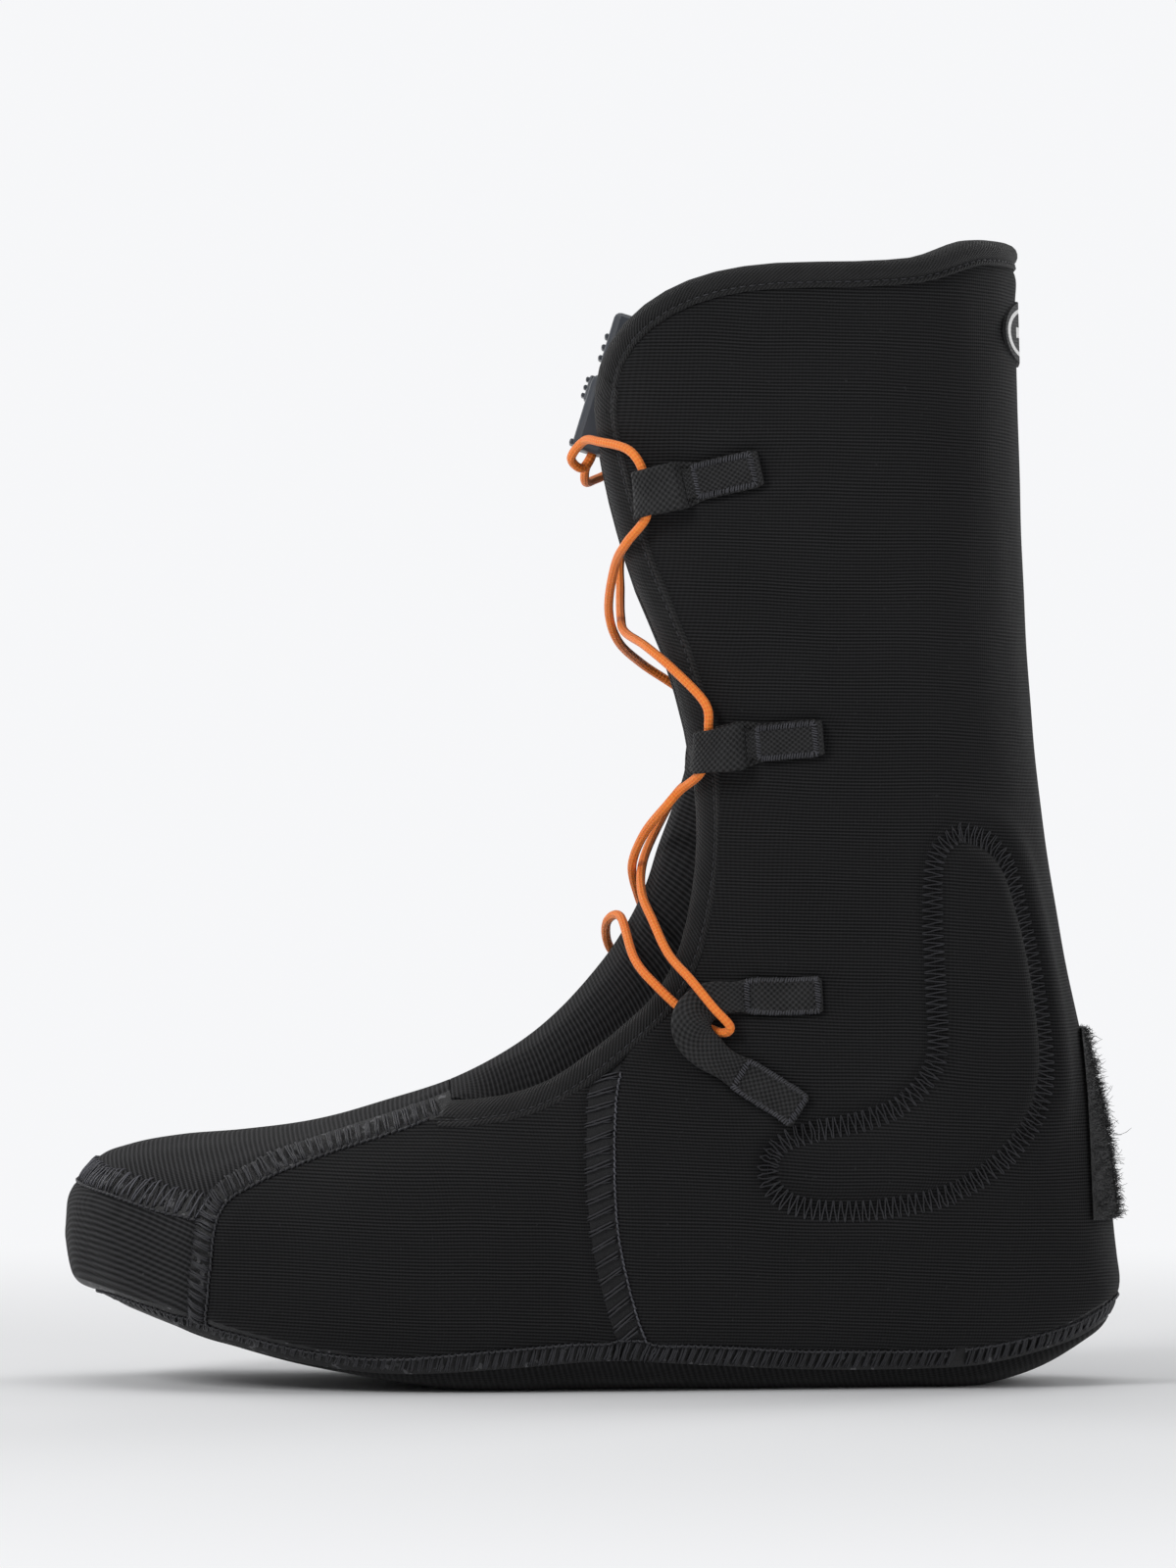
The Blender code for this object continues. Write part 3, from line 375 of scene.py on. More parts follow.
def islands(obj, names, look):
    """Each separate body of a mesh becomes the piece whose place is nearest to its middle."""
    bpy.ops.object.select_all(action="DESELECT")
    obj.select_set(True)
    bpy.context.view_layer.objects.active = obj
    bpy.ops.mesh.separate(type="LOOSE")
    found = {}
    for part in list(bpy.context.selected_objects):
        if len(part.data.vertices) < SCRAP:
            remove(part)
            continue
        co = np.array([v.co for v in part.data.vertices])
        middle = (co.min(0) + co.max(0)) / 2 / MM
        name = min(names, key=lambda n: np.linalg.norm(np.array(names[n]) - middle))
        if name not in found or len(part.data.vertices) > len(found[name].data.vertices):
            if name in found:
                remove(found[name])
            found[name] = part
        else:
            remove(part)
    for name, part in found.items():
        part.name = part.data.name = name
        surfaced(part, look[name] if isinstance(look, dict) else look)
    missing = set(names) - set(found)
    assert not missing, missing
    return found


# The body's surface as an even grid

def even_grid(rows, around):
    """Points of the body, evenly apart along each ring, and the rings evenly apart on average."""
    near = np.geomspace(1e-7, 0.12, 70)
    angles = np.unique(np.concatenate([
        np.linspace(0, pi, 700), near, pi / 2 - near, pi / 2 + near, pi - near]))
    fine = np.linspace(0, LAST_RING, 600)
    lines = body_points(fine[:, None], np.array([0.0, pi / 2, pi])[None])
    gaps = np.linalg.norm(np.diff(lines, axis=0), axis=2).mean(axis=1)
    known = np.concatenate([[0], np.cumsum(gaps)])
    rings = np.interp(np.linspace(0, known[-1], rows), known, fine)
    half = around // 2
    grid = np.empty((rows, around, 3))
    for i, ring in enumerate(rings):
        line = body_points(ring, angles)
        total = lengths(line)[-1]
        right = at_lengths(line, (np.arange(half) + 0.5) / half * total)
        left = right * (1, -1, 1) + (0, 2 * along(RINGS, ring)[5] * MM, 0)
        grid[i] = np.concatenate([right, left[::-1]])
    return grid


def grid_normals(grid):
    """Outward normals at the points of a grid that is closed round each ring."""
    wide = np.concatenate([grid[:, -1:], grid, grid[:, :1]], axis=1)
    round_ring = wide[:, 2:] - wide[:, :-2]
    return unit(np.cross(np.gradient(grid, axis=0), round_ring))


def outward_normals(grid):
    normals = grid_normals(grid)
    return -normals if ((grid - INSIDE_THE_BOOT) * normals).sum() < 0 else normals


def tree_of(grid):
    quads, _ = grid_faces(*grid.shape[:2])
    return BVHTree.FromPolygons(grid.reshape(-1, 3).tolist(), quads)


ROWS, AROUND = 440, 340
base = even_grid(ROWS, AROUND)
normals = outward_normals(base)
BASE = tree_of(base)


# Seams as lines on the surface

def cast(origin, direction):
    hit, _, _, _ = BASE.ray_cast(Vector(origin), Vector(direction))
    return None if hit is None else np.array(hit)


def side_path(line, side, step=0.5, closed=False):
    """A side-view line laid on one side of the body."""
    line = np.asarray(list(line) + [line[0]] if closed else line, float)
    found = [cast((x * MM, side * 0.09, z * MM), (0, -side, 0)) for x, z in smooth_line(line, 10)]
    return even(np.array([p for p in found if p is not None]), step * MM)


def round_path(line, ways, step=0.5):
    """A side-view line laid round the body: ways are (x of the middle, direction in degrees)."""
    known = smooth_line(line, 8)
    found = []
    for x, turn in ways:
        way = np.array([cos(radians(turn)), sin(radians(turn)), 0])
        z = np.interp(x, known[:, 0], known[:, 1])
        for _ in range(5):
            hit = cast(np.array([x, 0, z]) * MM + way * 0.2, -way)
            if hit is None:
                break
            z = np.interp(hit[0] / MM, known[:, 0], known[:, 1])
        if hit is not None:
            found.append(hit)
    return even(np.array(found), step * MM)


sole_ways = ([(x, -90) for x in range(100, -101, -2)] + [(-100, -90 - t) for t in range(2, 180, 2)]
             + [(x, 90) for x in range(-100, 101, 2)] + [(100, 90 - t) for t in range(2, 181, 2)])
SOLE_PATH = round_path(SOLE_LINE, sole_ways)
CAP_PATH = round_path(CAP_LINE, [(-103.5, -90 - t) for t in range(0, 181, 2)])
FOREFOOT_PATH = {side: side_path(FOREFOOT_LINE[:-1], side) for side, _ in SIDES}
QUARTER_PATH = {side: side_path(QUARTER_LINE, side) for side, _ in SIDES}
PAD_PATH = {side: side_path(ANKLE_PAD, side, closed=True) for side, _ in SIDES}


def signed_distance(places, line):
    """How far side-view places lie to the left of a line, in millimetres; negative to its right."""
    places, line = np.asarray(places, float), np.asarray(line, float)
    best = np.full(len(places), 1e9)
    for a, b in zip(line, line[1:]):
        reach = b - a
        f = np.clip(((places - a) @ reach) / (reach @ reach), 0, 1)
        away = places - a - f[:, None] * reach
        far = np.hypot(away[:, 0], away[:, 1])
        left = reach[0] * (places[:, 1] - a[1]) - reach[1] * (places[:, 0] - a[0]) > 0
        best = np.where(far < np.abs(best), np.where(left, far, -far), best)
    return best


EDGE = smooth_line(EDGE_LINE, 2)


def beyond_edge(places, setback=0.0):
    """Whether places lie in the opening, or within a setback behind its edge."""
    return signed_distance(places[:, ::2] / MM, EDGE) > -setback


def halving(stays, low, high, rounds=24):
    """How far up from low something stays true, for many places at once."""
    for _ in range(rounds):
        middle = (low + high) / 2
        true = stays(middle)
        low, high = np.where(true, middle, low), np.where(true, high, middle)
    return low


def edge_angles(rings, setback=0.0, rounds=24):
    """The angle at which each ring comes to the flap's edge."""
    count = len(rings)
    return halving(lambda angle: beyond_edge(body_points(rings, angle), setback),
                   np.zeros(count), np.full(count, pi / 2), rounds)


# The edge of the opening, from the throat up one flap and round the cuff to the back.
front_rings = np.linspace(8.02, 22.9, 260)
front_angles = edge_angles(front_rings)
cuff_angles = np.linspace(front_angles[-1], pi, 160)[1:]
cuff_rings = halving(lambda ring: ~beyond_edge(body_points(ring, cuff_angles)),
                     np.full(len(cuff_angles), 22.0), np.full(len(cuff_angles), 25.0))
edge_rings = np.concatenate([front_rings, cuff_rings])
edge_turns = np.concatenate([front_angles, cuff_angles])
half_edge = body_points(edge_rings, edge_turns)
mirror_edge = body_points(edge_rings, -edge_turns)[::-1]
EDGE_PATH = even(np.concatenate([half_edge, mirror_edge[1:]]), 0.8 * MM)


def distances(points, path):
    """How far points lie from a line of points, in millimetres, up to 30 mm."""
    tree = KDTree(len(path))
    for i, p in enumerate(path):
        tree.insert(Vector(p), i)
    tree.balance()
    low, high = path.min(0) - 0.03, path.max(0) + 0.03
    near = np.nonzero(((points > low) & (points < high)).all(axis=1))[0]
    found = np.full(len(points), 30.0)
    for i in near:
        found[i] = tree.find(Vector(points[i]))[2] / MM
    return np.minimum(found, 30.0)


def waves(points, scale, seed, count=5):
    """Soft random undulation between about -1 and 1."""
    pick = np.random.default_rng(seed)
    total = np.zeros(len(points))
    for _ in range(count):
        way = unit(pick.normal(size=3)) * 2 * pi / (scale * MM) * pick.uniform(0.6, 1.5)
        total += np.sin(points @ way + pick.uniform(0, 2 * pi))
    return total / count ** 0.5 / 1.4


def hump(x, at, spread):
    return np.exp(-((x - at) / spread) ** 2)


def channel(far, deep, start, end):
    """A sewn channel: a depth at the seam, back to nothing from start to end away from it."""
    return -deep * (1 - ease(far, start, end))


TABS = (((29, 246.9), (46, 250.6)), ((46, 176.4), (63, 177.7)), ((46, 107.0), (63, 107.8)),
        ((44, 84.2), (57, 75.8)))


def relief(points):
    """How far the sewn and padded surface stands off the plain body, in millimetres."""
    h = 0.34 * waves(points, 55, 3) + 0.12 * waves(points, 19, 4)
    for side, _ in SIDES:
        for tab in TABS:
            seam = distances(points, side_path(tab, side, 1.0, False))
            h += channel(seam, 1.0, 4.2, 8.0) + 0.25 * hump(seam, 10, 3.0)
    seam = distances(points, SOLE_PATH)
    h += channel(seam, 1.0, 1.6, 3.8) + 0.45 * hump(seam, 7, 4.0)
    seam = distances(points, CAP_PATH)
    h += channel(seam, 0.55, 2.2, 4.8) + 0.40 * hump(seam, 8, 4.0)
    for side, _ in SIDES:
        seam = distances(points, FOREFOOT_PATH[side])
        h += channel(seam, 0.6, 1.6, 3.9) + 0.40 * hump(seam, 7, 3.5)
        seam = distances(points, QUARTER_PATH[side])
        h += channel(seam, 1.25, 3.2, 5.6) + 0.5 * hump(seam, 8.5, 4.5)
        seam = distances(points, PAD_PATH[side])
        line = smooth_line(list(ANKLE_PAD) + [ANKLE_PAD[0]], 3)
        mine = (points[:, 1] * side > 0.01) & (seam < 30)
        inside = np.zeros(len(points))
        inside[mine] = (signed_distance(points[mine][:, ::2] / MM, line) > 0) & (seam[mine] < 29)
        deep = np.where(mine, seam, 30)
        inner = inside * (1.9 * ease(deep, 2.0, 9.0) + 0.5 * hump(deep, 6.0, 2.2))
        outer = (1 - inside) * 0.95 * hump(deep, 6.5, 4.0) * (deep < 29)
        h += channel(deep, 1.9, 1.6, 4.2) * (deep < 29) + inner + outer
    seam = distances(points, EDGE_PATH)
    h += -0.55 * hump(seam, 7.0, 1.3) + 0.35 * hump(seam, 11, 3.0)
    return h


# Materials

class Look:
    """A material under construction: its nodes, and the few kinds of pattern that the fabrics need."""

    def __init__(self, name, colour, roughness, **sockets):
        self.material = bpy.data.materials.new(name)
        self.material.use_nodes = True
        self.tree = self.material.node_tree
        self.shader = self.tree.nodes["Principled BSDF"]
        self.set("Base Color", (*colour, 1))
        self.set("Roughness", roughness)
        for socket, value in sockets.items():
            self.set(socket.replace("_", " "), value)

    def set(self, socket, value):
        self.shader.inputs[socket].default_value = value

    def node(self, kind, *inputs, **settings):
        made = self.tree.nodes.new("ShaderNode" + kind)
        for key, value in settings.items():
            setattr(made, key, value)
        for i, value in enumerate(inputs):
            if value is None:
                continue
            if isinstance(value, bpy.types.NodeSocket):
                self.tree.links.new(value, made.inputs[i])
            else:
                made.inputs[i].default_value = value
        return made

    def math(self, operation, *inputs):
        return self.node("Math", *inputs, operation=operation).outputs[0]

    def add(self, *inputs):
        return self.math("ADD", *inputs)

    def less(self, *inputs):
        return self.math("SUBTRACT", *inputs)

    def times(self, *inputs):
        return self.math("MULTIPLY", *inputs)

    def times_add(self, value, factor, addend):
        return self.math("MULTIPLY_ADD", value, factor, addend)

    def place(self, source="Object"):
        """The x, y and z of the object's own coordinates, or u and v of its UVs, in metres."""
        coordinates = self.node("TexCoord").outputs[source]
        return self.node("SeparateXYZ", coordinates).outputs

    def noise(self, scale, detail=2.0, roughness=0.5):
        made = self.node("TexNoise", self.node("TexCoord").outputs["Object"])
        made.inputs["Scale"].default_value = scale
        made.inputs["Detail"].default_value = detail
        made.inputs["Roughness"].default_value = roughness
        return made.outputs[0]

    def ribs(self, coordinate, pitch):
        """A rounded wave from 0 to 1 along a coordinate, one crest for each pitch in millimetres."""
        turn = self.math("MULTIPLY", coordinate, 2 * pi / (pitch * MM))
        return self.math("MULTIPLY_ADD", self.math("SINE", turn), 0.5, 0.5)

    def blend(self, factor, low, high):
        """Base colour between two colours."""
        made = self.node("Mix", data_type="RGBA")
        self.tree.links.new(factor, made.inputs[0])
        made.inputs[6].default_value = (*low, 1)
        made.inputs[7].default_value = (*high, 1)
        self.tree.links.new(made.outputs[2], self.shader.inputs["Base Color"])

    def rough(self, factor, low, high):
        spread = self.node("MapRange", factor, 0.0, 1.0, low, high).outputs[0]
        self.tree.links.new(spread, self.shader.inputs["Roughness"])

    def bump(self, height, depth):
        made = self.node("Bump")
        made.inputs["Strength"].default_value = 1.0
        made.inputs["Distance"].default_value = depth * MM
        self.tree.links.new(height, made.inputs["Height"])
        self.tree.links.new(made.outputs[0], self.shader.inputs["Normal"])


STITCH_PITCH = 0.80     # along the ribs of the knit


def knit(name, rib, cross, pitch=0.92, dark=0.0012, light=0.026, depth=0.24, source="Object"):
    """Fine ribbed knit over foam.

    rib and cross say how the coordinates of the ribs and of the stitches mix x, y and z.
    """
    look = Look(name, (0.013, 0.013, 0.014), 0.8, Sheen_Weight=0.06, Sheen_Roughness=0.4,
                Specular_IOR_Level=0.09)
    x, y, z = look.place(source)

    def mixed(weights):
        total = None
        for socket, weight in zip((x, y, z), weights):
            if weight:
                term = look.times(socket, weight)
                total = term if total is None else look.add(total, term)
        return total

    drift = look.times(look.less(look.noise(14, 2), 0.5), 0.0045)
    waves = look.ribs(look.add(mixed(rib), drift), pitch)
    stitches = look.ribs(look.add(mixed(cross), drift), STITCH_PITCH)
    fibre = look.noise(2600, 3, 0.7)
    cloud = look.noise(22, 3, 0.55)
    flecks = look.math("GREATER_THAN", look.noise(900, 2, 0.6), 0.715)
    # Rib crests, and a little the stitches, are painted lighter than their hollows: painted highlights along
    # the ribs.
    tone = look.times_add(look.math("POWER", waves, 1.5), 0.75, look.times(stitches, 0.14))
    tone = look.add(tone, look.times(fibre, 0.22))
    tone = look.times_add(cloud, 0.22, tone)
    tone = look.times_add(flecks, 0.5, look.less(tone, 0.10))
    look.blend(tone, (dark, dark, dark * 1.04), (light, light, light * 1.05))
    look.rough(fibre, 0.68, 0.92)
    height = look.times_add(stitches, 0.22, look.add(waves, look.times(fibre, 0.5)))
    look.bump(height, depth)
    return look.material


def woven(name, pitch, depth, dark, light, twill=False, roughness=0.62, sheen=0.1, across=None):
    """Webbing or tape, woven along its UVs."""
    look = Look(name, (light,) * 3, roughness, Sheen_Weight=sheen, Sheen_Roughness=0.4,
                Specular_IOR_Level=0.2)
    u, v, _ = look.place("UV")
    if twill:
        a = look.ribs(look.times_add(v, 0.85, u), pitch)
        b = look.ribs(v, across or pitch * 0.55)
        weave = look.times_add(b, 0.22, look.times(a, 0.78))
    else:
        a, b = look.ribs(u, pitch), look.ribs(v, across or pitch)
        both = look.times(a, b)
        neither = look.times(look.less(1.0, a), look.less(1.0, b))
        weave = look.add(both, neither)
    fibre = look.noise(3000, 3, 0.7)
    cloud = look.noise(150, 2, 0.5)
    # The raised places of the weave are painted lighter than its hollows: painted highlights on the weave.
    tone = look.times_add(fibre, 0.45, look.times(weave, 0.75))
    tone = look.times_add(cloud, 0.4, look.less(tone, 0.35))
    look.blend(tone, (dark, dark, dark * 1.03), (light, light, light * 1.03))
    look.rough(fibre, roughness - 0.12, roughness + 0.18)
    look.bump(look.times_add(fibre, 0.35, weave), depth)
    return look.material


def fuzzy(name, colour, scale, depth, roughness=0.95, sheen=0.3):
    """Brushed fleece, foam or pile."""
    look = Look(name, colour, roughness, Sheen_Weight=sheen, Sheen_Roughness=0.6)
    fine, soft = look.noise(scale, 4, 0.7), look.noise(scale / 9, 2, 0.5)
    tone = look.times_add(soft, 0.5, look.times(fine, 0.6))
    look.blend(tone, tuple(c * 0.55 for c in colour), tuple(c * 1.6 for c in colour))
    look.rough(fine, roughness - 0.15, 1.0)
    look.bump(look.times_add(soft, 0.6, fine), depth)
    return look.material


def thread(name, dark, light, roughness=0.42):
    look = Look(name, (light,) * 3, roughness, Specular_IOR_Level=0.4, Sheen_Weight=0.03)
    fine = look.noise(2400, 3, 0.6)
    cloud = look.noise(170, 2, 0.5)
    tone = look.times_add(cloud, 0.8, look.times(fine, 0.3))
    look.blend(look.less(tone, 0.05), (dark, dark, dark * 1.12), (light, light, light * 1.18))
    look.rough(fine, roughness - 0.1, roughness + 0.25)
    look.bump(fine, 0.06)
    return look.material


def foam_edge():
    """The cut edge of the foam between stitches: dark, with pale spots painted in as glints where the foam
    shows.
    """
    look = Look("foam_edge", (0.02, 0.02, 0.021), 0.5, Specular_IOR_Level=0.5)
    # The pale spots are painted glints.
    spots = look.math("GREATER_THAN", look.noise(330, 2, 0.5), 0.63)
    fine = look.noise(1800, 3, 0.6)
    factor = look.times(spots, look.times_add(fine, 0.9, 0.1))
    look.blend(factor, (0.008, 0.008, 0.009), (0.16, 0.16, 0.17))
    look.rough(fine, 0.3, 0.7)
    look.bump(fine, 0.25)
    return look.material


def plastic(name, colour, roughness):
    look = Look(name, colour, roughness, Specular_IOR_Level=0.5)
    fine, soft = look.noise(5200, 2, 0.6), look.noise(160, 3, 0.6)
    look.blend(soft, tuple(c * 0.8 for c in colour), tuple(c * 1.25 for c in colour))
    look.rough(look.times_add(soft, 0.6, look.times(fine, 0.4)), roughness - 0.1, roughness + 0.14)
    look.bump(fine, 0.03)
    return look.material


def braid():
    """Braided lace: two sets of strands wound opposite ways, with the fine twist of each strand."""
    look = Look("lace_braid", (0.85, 0.19, 0.03), 0.5, Sheen_Weight=0.15, Specular_IOR_Level=0.45)
    u, v, _ = look.place("UV")
    way = 2 * pi * LACE_DIAMETER / 2 * MM
    turn = look.times(v, 2 * pi * 4 / way)
    climb = look.times(u, 2 * pi / (2.3 * MM))
    one = look.math("SINE", look.add(turn, climb))
    two = look.math("SINE", look.less(turn, climb))
    weave = look.times_add(look.times(one, two), 0.5, 0.5)
    fibre = look.noise(3500, 3, 0.7)
    cloud = look.noise(120, 2, 0.5)
    # The crossing strands are painted lighter and yellower on their crests: painted highlights on the braid.
    tone = look.times_add(fibre, 0.35, look.times(weave, 0.7))
    look.blend(look.times_add(cloud, 0.3, look.less(tone, 0.15)),
               (0.95, 0.14, 0.008), (1.0, 0.33, 0.040))
    look.rough(fibre, 0.4, 0.75)
    look.bump(look.times_add(fibre, 0.25, weave), 0.22)
    return look.material


SHELL_KNIT = knit("shell_knit", (0.03, 0.0, 1.0), (0.9, 0.45, 0.0))
PAD_KNIT = knit("pad_knit", (0.03, 0.0, 1.0), (0.9, 0.45, 0.0))
VAMP_KNIT = knit("vamp_knit", (0.96, 0.0, 0.28), (0.0, 1.0, 0.6), 1.3, 0.003, 0.050, 0.34)
TONGUE_KNIT = knit("tongue_knit", (1.0, 0.0, 0.0), (0.0, 1.0, 0.0), 1.2, 0.003, 0.044, 0.32, source="UV")
CAP_KNIT = knit("cap_knit", (0.50, 0.25, 0.83), (0.7, 0.7, -0.3), 1.3, 0.003, 0.046, 0.30)
SOLE_KNIT = knit("sole_knit", (1.0, 0.0, 0.3), (0.0, 1.0, 0.0), 1.6, 0.004, 0.016, 0.20)
SEAM_KNIT = fuzzy("seam_foam_and_knit", (0.006, 0.006, 0.007), 1500, 0.3, 0.8, 0.03)
FOAM_EDGE = foam_edge()
THREAD = thread("seam_thread", 0.006, 0.040)
HEM = thread("hem_thread", 0.010, 0.085)
CHAIN = thread("chain_thread", 0.018, 0.115, 0.34)
TAPE = woven("binding_tape", 1.15, 0.40, 0.002, 0.034, twill=True, sheen=0.05)
WEBBING_LOOK = woven("webbing", 1.7, 0.6, 0.001, 0.052, across=1.6, roughness=0.6, sheen=0.04)
FLEECE = fuzzy("brushed_lining", (0.016, 0.016, 0.018), 1700, 0.5)
FOOTBED_LOOK = fuzzy("footbed_cloth", (0.035, 0.035, 0.040), 2000, 0.2)
PILE = fuzzy("loop_pile", (0.007, 0.007, 0.008), 1300, 0.8, sheen=0.12)
BRAID = braid()
PLASTIC = plastic("lock_plastic", (0.050, 0.056, 0.068), 0.38)
STEEL = plastic("spring_steel", (0.5, 0.5, 0.52), 0.3)


# The panels

heights = relief(base.reshape(-1, 3)).reshape(ROWS, AROUND, 1)
skin = base + normals * heights * MM
SKIN = tree_of(skin)


def closed_solid(name, grid):
    quads, index = grid_faces(*grid.shape[:2])
    made = link(name, mesh_of(name, grid, quads + [index[0][::-1].tolist(), index[-1].tolist()]))
    outward(made)
    return made


def inset_grid(rows, around, inset):
    """The body's surface moved inward by an inset in millimetres."""
    grid = even_grid(rows, around)
    return grid - outward_normals(grid) * inset * MM


BINDING_WIDTH = 6.6
THROAT_X = EDGE_LINE[0][0]


def opening_cutter(name, setback, start, deep=11.0):
    """The opening above the tongue, with its sides square to the body."""
    line = offset_line(EDGE, -setback)
    line[0, 0] = start
    made = prism(name, [(start, 400)] + line.tolist() + [(170, line[-1, 1]), (170, 400)])
    rings = np.linspace(8.0, 23.2, 77)
    turn = edge_angles(rings, setback, 20)
    med, med_out = body_points(rings, turn), body_normals(rings, turn) * MM
    lat, lat_out = body_points(rings, -turn), body_normals(rings, -turn) * MM
    front = body_points(rings, 0 * turn) + body_normals(rings, 0 * turn) * 20 * MM
    rows = np.stack([med + med_out * 14, med - med_out * deep, lat - lat_out * deep, lat + lat_out * 14,
                     front], axis=1)
    rows = np.concatenate([rows, rows[-1:] + (0, 0, 60 * MM)])
    slot = sweep(name + "_slot", rows, None)
    boolean(made, "UNION", slot)
    remove(slot)
    return made


laminate = closed_solid("laminate", skin)
core = closed_solid("core", inset_grid(150, 120, 5.5))
opening = opening_cutter("opening", BINDING_WIDTH - 0.8, THROAT_X)
ground = box("below_the_sole", (-200, -90, -40), (200, 90, 0))
boolean(laminate, "DIFFERENCE", core, opening, ground)

QUARTER_HALF, CAP_HALF, SEAM_HALF = 3.6, 3.4, 2.6
PAD_GAP = 0.03
bands = {
    "sole": seam_band("sole_band", SOLE_LINE, SEAM_HALF),
    "cap": seam_band("cap_band", CAP_LINE, CAP_HALF),
    "forefoot": seam_band("forefoot_band", FOREFOOT_LINE, SEAM_HALF),
    "quarter": seam_band("quarter_band", QUARTER_LINE, QUARTER_HALF),
}
pad_line = smooth_line(list(ANKLE_PAD) + [ANKLE_PAD[0]], 4)
pad_ring = prism("pad_outer", offset_line(pad_line, -PAD_GAP)[:-1])
pad_inner = prism("pad_inner", offset_line(pad_line, PAD_GAP)[:-1])

panels = copy_of(laminate, "panels")
boolean(panels, "DIFFERENCE", *bands.values())
pads = copy_of(panels, "pads")
boolean(panels, "DIFFERENCE", pad_ring)
boolean(pads, "INTERSECT", pad_inner)
PANELS = islands(panels, {
    "shell_of_the_leg": (60, 0, 150), "toe_cap_panel": (-125, 5, 40), "vamp_panel": (-75, 0, 68),
    "underfoot_panel": (0, 0, 5),
    "forefoot_side_lateral": (-45, -45, 45), "forefoot_side_medial": (-45, 45, 45),
}, {
    "shell_of_the_leg": SHELL_KNIT, "toe_cap_panel": CAP_KNIT, "vamp_panel": VAMP_KNIT,
    "underfoot_panel": SOLE_KNIT, "forefoot_side_lateral": SHELL_KNIT, "forefoot_side_medial": SHELL_KNIT,
})
PADS = islands(pads, {"ankle_padding_lateral": (90, -40, 90), "ankle_padding_medial": (90, 40, 90)}, PAD_KNIT)

sole_strip = copy_of(laminate, "sole_strip")
boolean(sole_strip, "INTERSECT", bands["sole"])
toe_strip = copy_of(laminate, "toe_strip")
boolean(bands["cap"], "UNION", bands["forefoot"])
boolean(toe_strip, "DIFFERENCE", bands["sole"])
boolean(toe_strip, "INTERSECT", bands["cap"])
quarter_strips = copy_of(laminate, "quarter_strips")
boolean(quarter_strips, "DIFFERENCE", bands["sole"])
boolean(quarter_strips, "INTERSECT", bands["quarter"])
QUARTER_STRIPS = islands(
    quarter_strips, {"quarter_strip_lateral": (5, -40, 50), "quarter_strip_medial": (5, 40, 50)}, SEAM_KNIT)
for strip in (sole_strip, toe_strip):
    surfaced(strip, FOAM_EDGE)
remove(laminate, core, opening, ground, pad_ring, pad_inner, *bands.values())


# Stitching

SKIN_SIGN = 1.0
probe = SKIN.find_nearest(Vector(skin[ROWS // 2, 5]))[1]
if np.dot(probe, normals[ROWS // 2, 5]) < 0:
    SKIN_SIGN = -1.0


def lay(points, height=0.0):
    """The nearest places of the finished skin, raised by heights in millimetres, and the normals there."""
    shape = points.shape
    found = [SKIN.find_nearest(Vector(p)) for p in points.reshape(-1, 3)]
    spots = np.array([f[0] for f in found]).reshape(shape)
    ups = np.array([f[1] for f in found]).reshape(shape) * SKIN_SIGN
    return spots + ups * (np.asarray(height, float) * MM)[..., None], ups


def on_side(x, z, side, height=0.0):
    """The point of the skin at a side-view place, raised by a height, and the normal there."""
    hit, normal, _, _ = SKIN.ray_cast(metres(x, side * 90, z), Vector((0, -side, 0)))
    normal = np.array(normal) * SKIN_SIGN
    return np.array(hit) + normal * height * MM, normal


class Seam:
    """A line on the skin, with a way across it. Its places are (along, across) in millimetres."""

    def __init__(self, path, step=0.6, level=False):
        """level keeps the seam's width in the side view where the body turns away."""
        self.path = even(path, step * MM)
        _, ups = lay(self.path)
        tangent = unit(np.gradient(self.path, axis=0))
        across = unit(np.cross(ups, tangent))
        pad = np.pad(across, ((6, 6), (0, 0)), mode="edge")
        self.across = unit(sum(pad[k:k + len(across)] for k in range(13)))
        self.known = lengths(self.path) / MM
        self.length = self.known[-1]
        seen, way = unit(tangent[:, ::2]), self.across[:, ::2]
        reach = np.abs(seen[:, 0] * way[:, 1] - seen[:, 1] * way[:, 0])
        self.wide = 1 / np.clip(reach, 0.5, 1) if level else np.ones(len(reach))
        edged = np.nonzero((distances(self.path, EDGE_PATH) < 8.2) & (self.known > 30))[0]
        self.bare = self.length - self.known[edged[0]] if len(edged) else 1.0

    def at(self, s, w):
        s = np.clip(s, 0, self.length)
        place, across = between(s, self.known, self.path), between(s, self.known, self.across)
        return place + across * (np.asarray(w, float) * np.interp(s, self.known, self.wide) * MM)[..., None]

    def stitches(self, name, pitch, shape, radius, look, rise=0.5, low=0.12, points=7, jitter=0.15,
                 bundle=((0, 0),), first=1.0, last=1.0):
        """A row of stitches. shape is (along, across) at a stitch's start and at its end."""
        (s0, w0), (s1, w1) = shape
        starts = np.arange(first, self.length - last - s1, pitch)
        f = np.linspace(0, 1, points)
        paths, ups = [], []
        for ds, dw in bundle:
            n = len(starts)
            loose = RANDOM.normal(0, jitter, (n, 4))
            s = starts[:, None] + ds + (s0 + loose[:, :1]) * (1 - f) + (s1 + loose[:, 1:2]) * f
            w = dw + (w0 + loose[:, 2:3]) * (1 - f) + (w1 + loose[:, 3:4]) * f
            arch = low + rise * np.sin(pi * f) ** 0.6
            arch[[0, -1]] = -0.25
            place, up = lay(self.at(s, w), np.broadcast_to(arch, s.shape))
            paths.append(place)
            ups.append(up)
        return threads(name, np.concatenate(paths), np.concatenate(ups), radius * MM, look)

    def chain(self, name, offset, pitch, radius, look, rise=0.45):
        """A row of small overlapping stitches, like a twisted cord along the seam."""
        shape = (0, offset - 0.16), (pitch * 1.18, offset + 0.16)
        return self.stitches(name, pitch, shape, radius, look, rise, 0.10, 5, 0.05, last=self.bare)


def sewn(name, objects, *nodes, body="boot"):
    made = joined(name, objects) if len(objects) > 1 else objects[0]
    made.name = made.data.name = name
    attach(made, body)
    if nodes:
        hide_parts(*nodes)
    return made


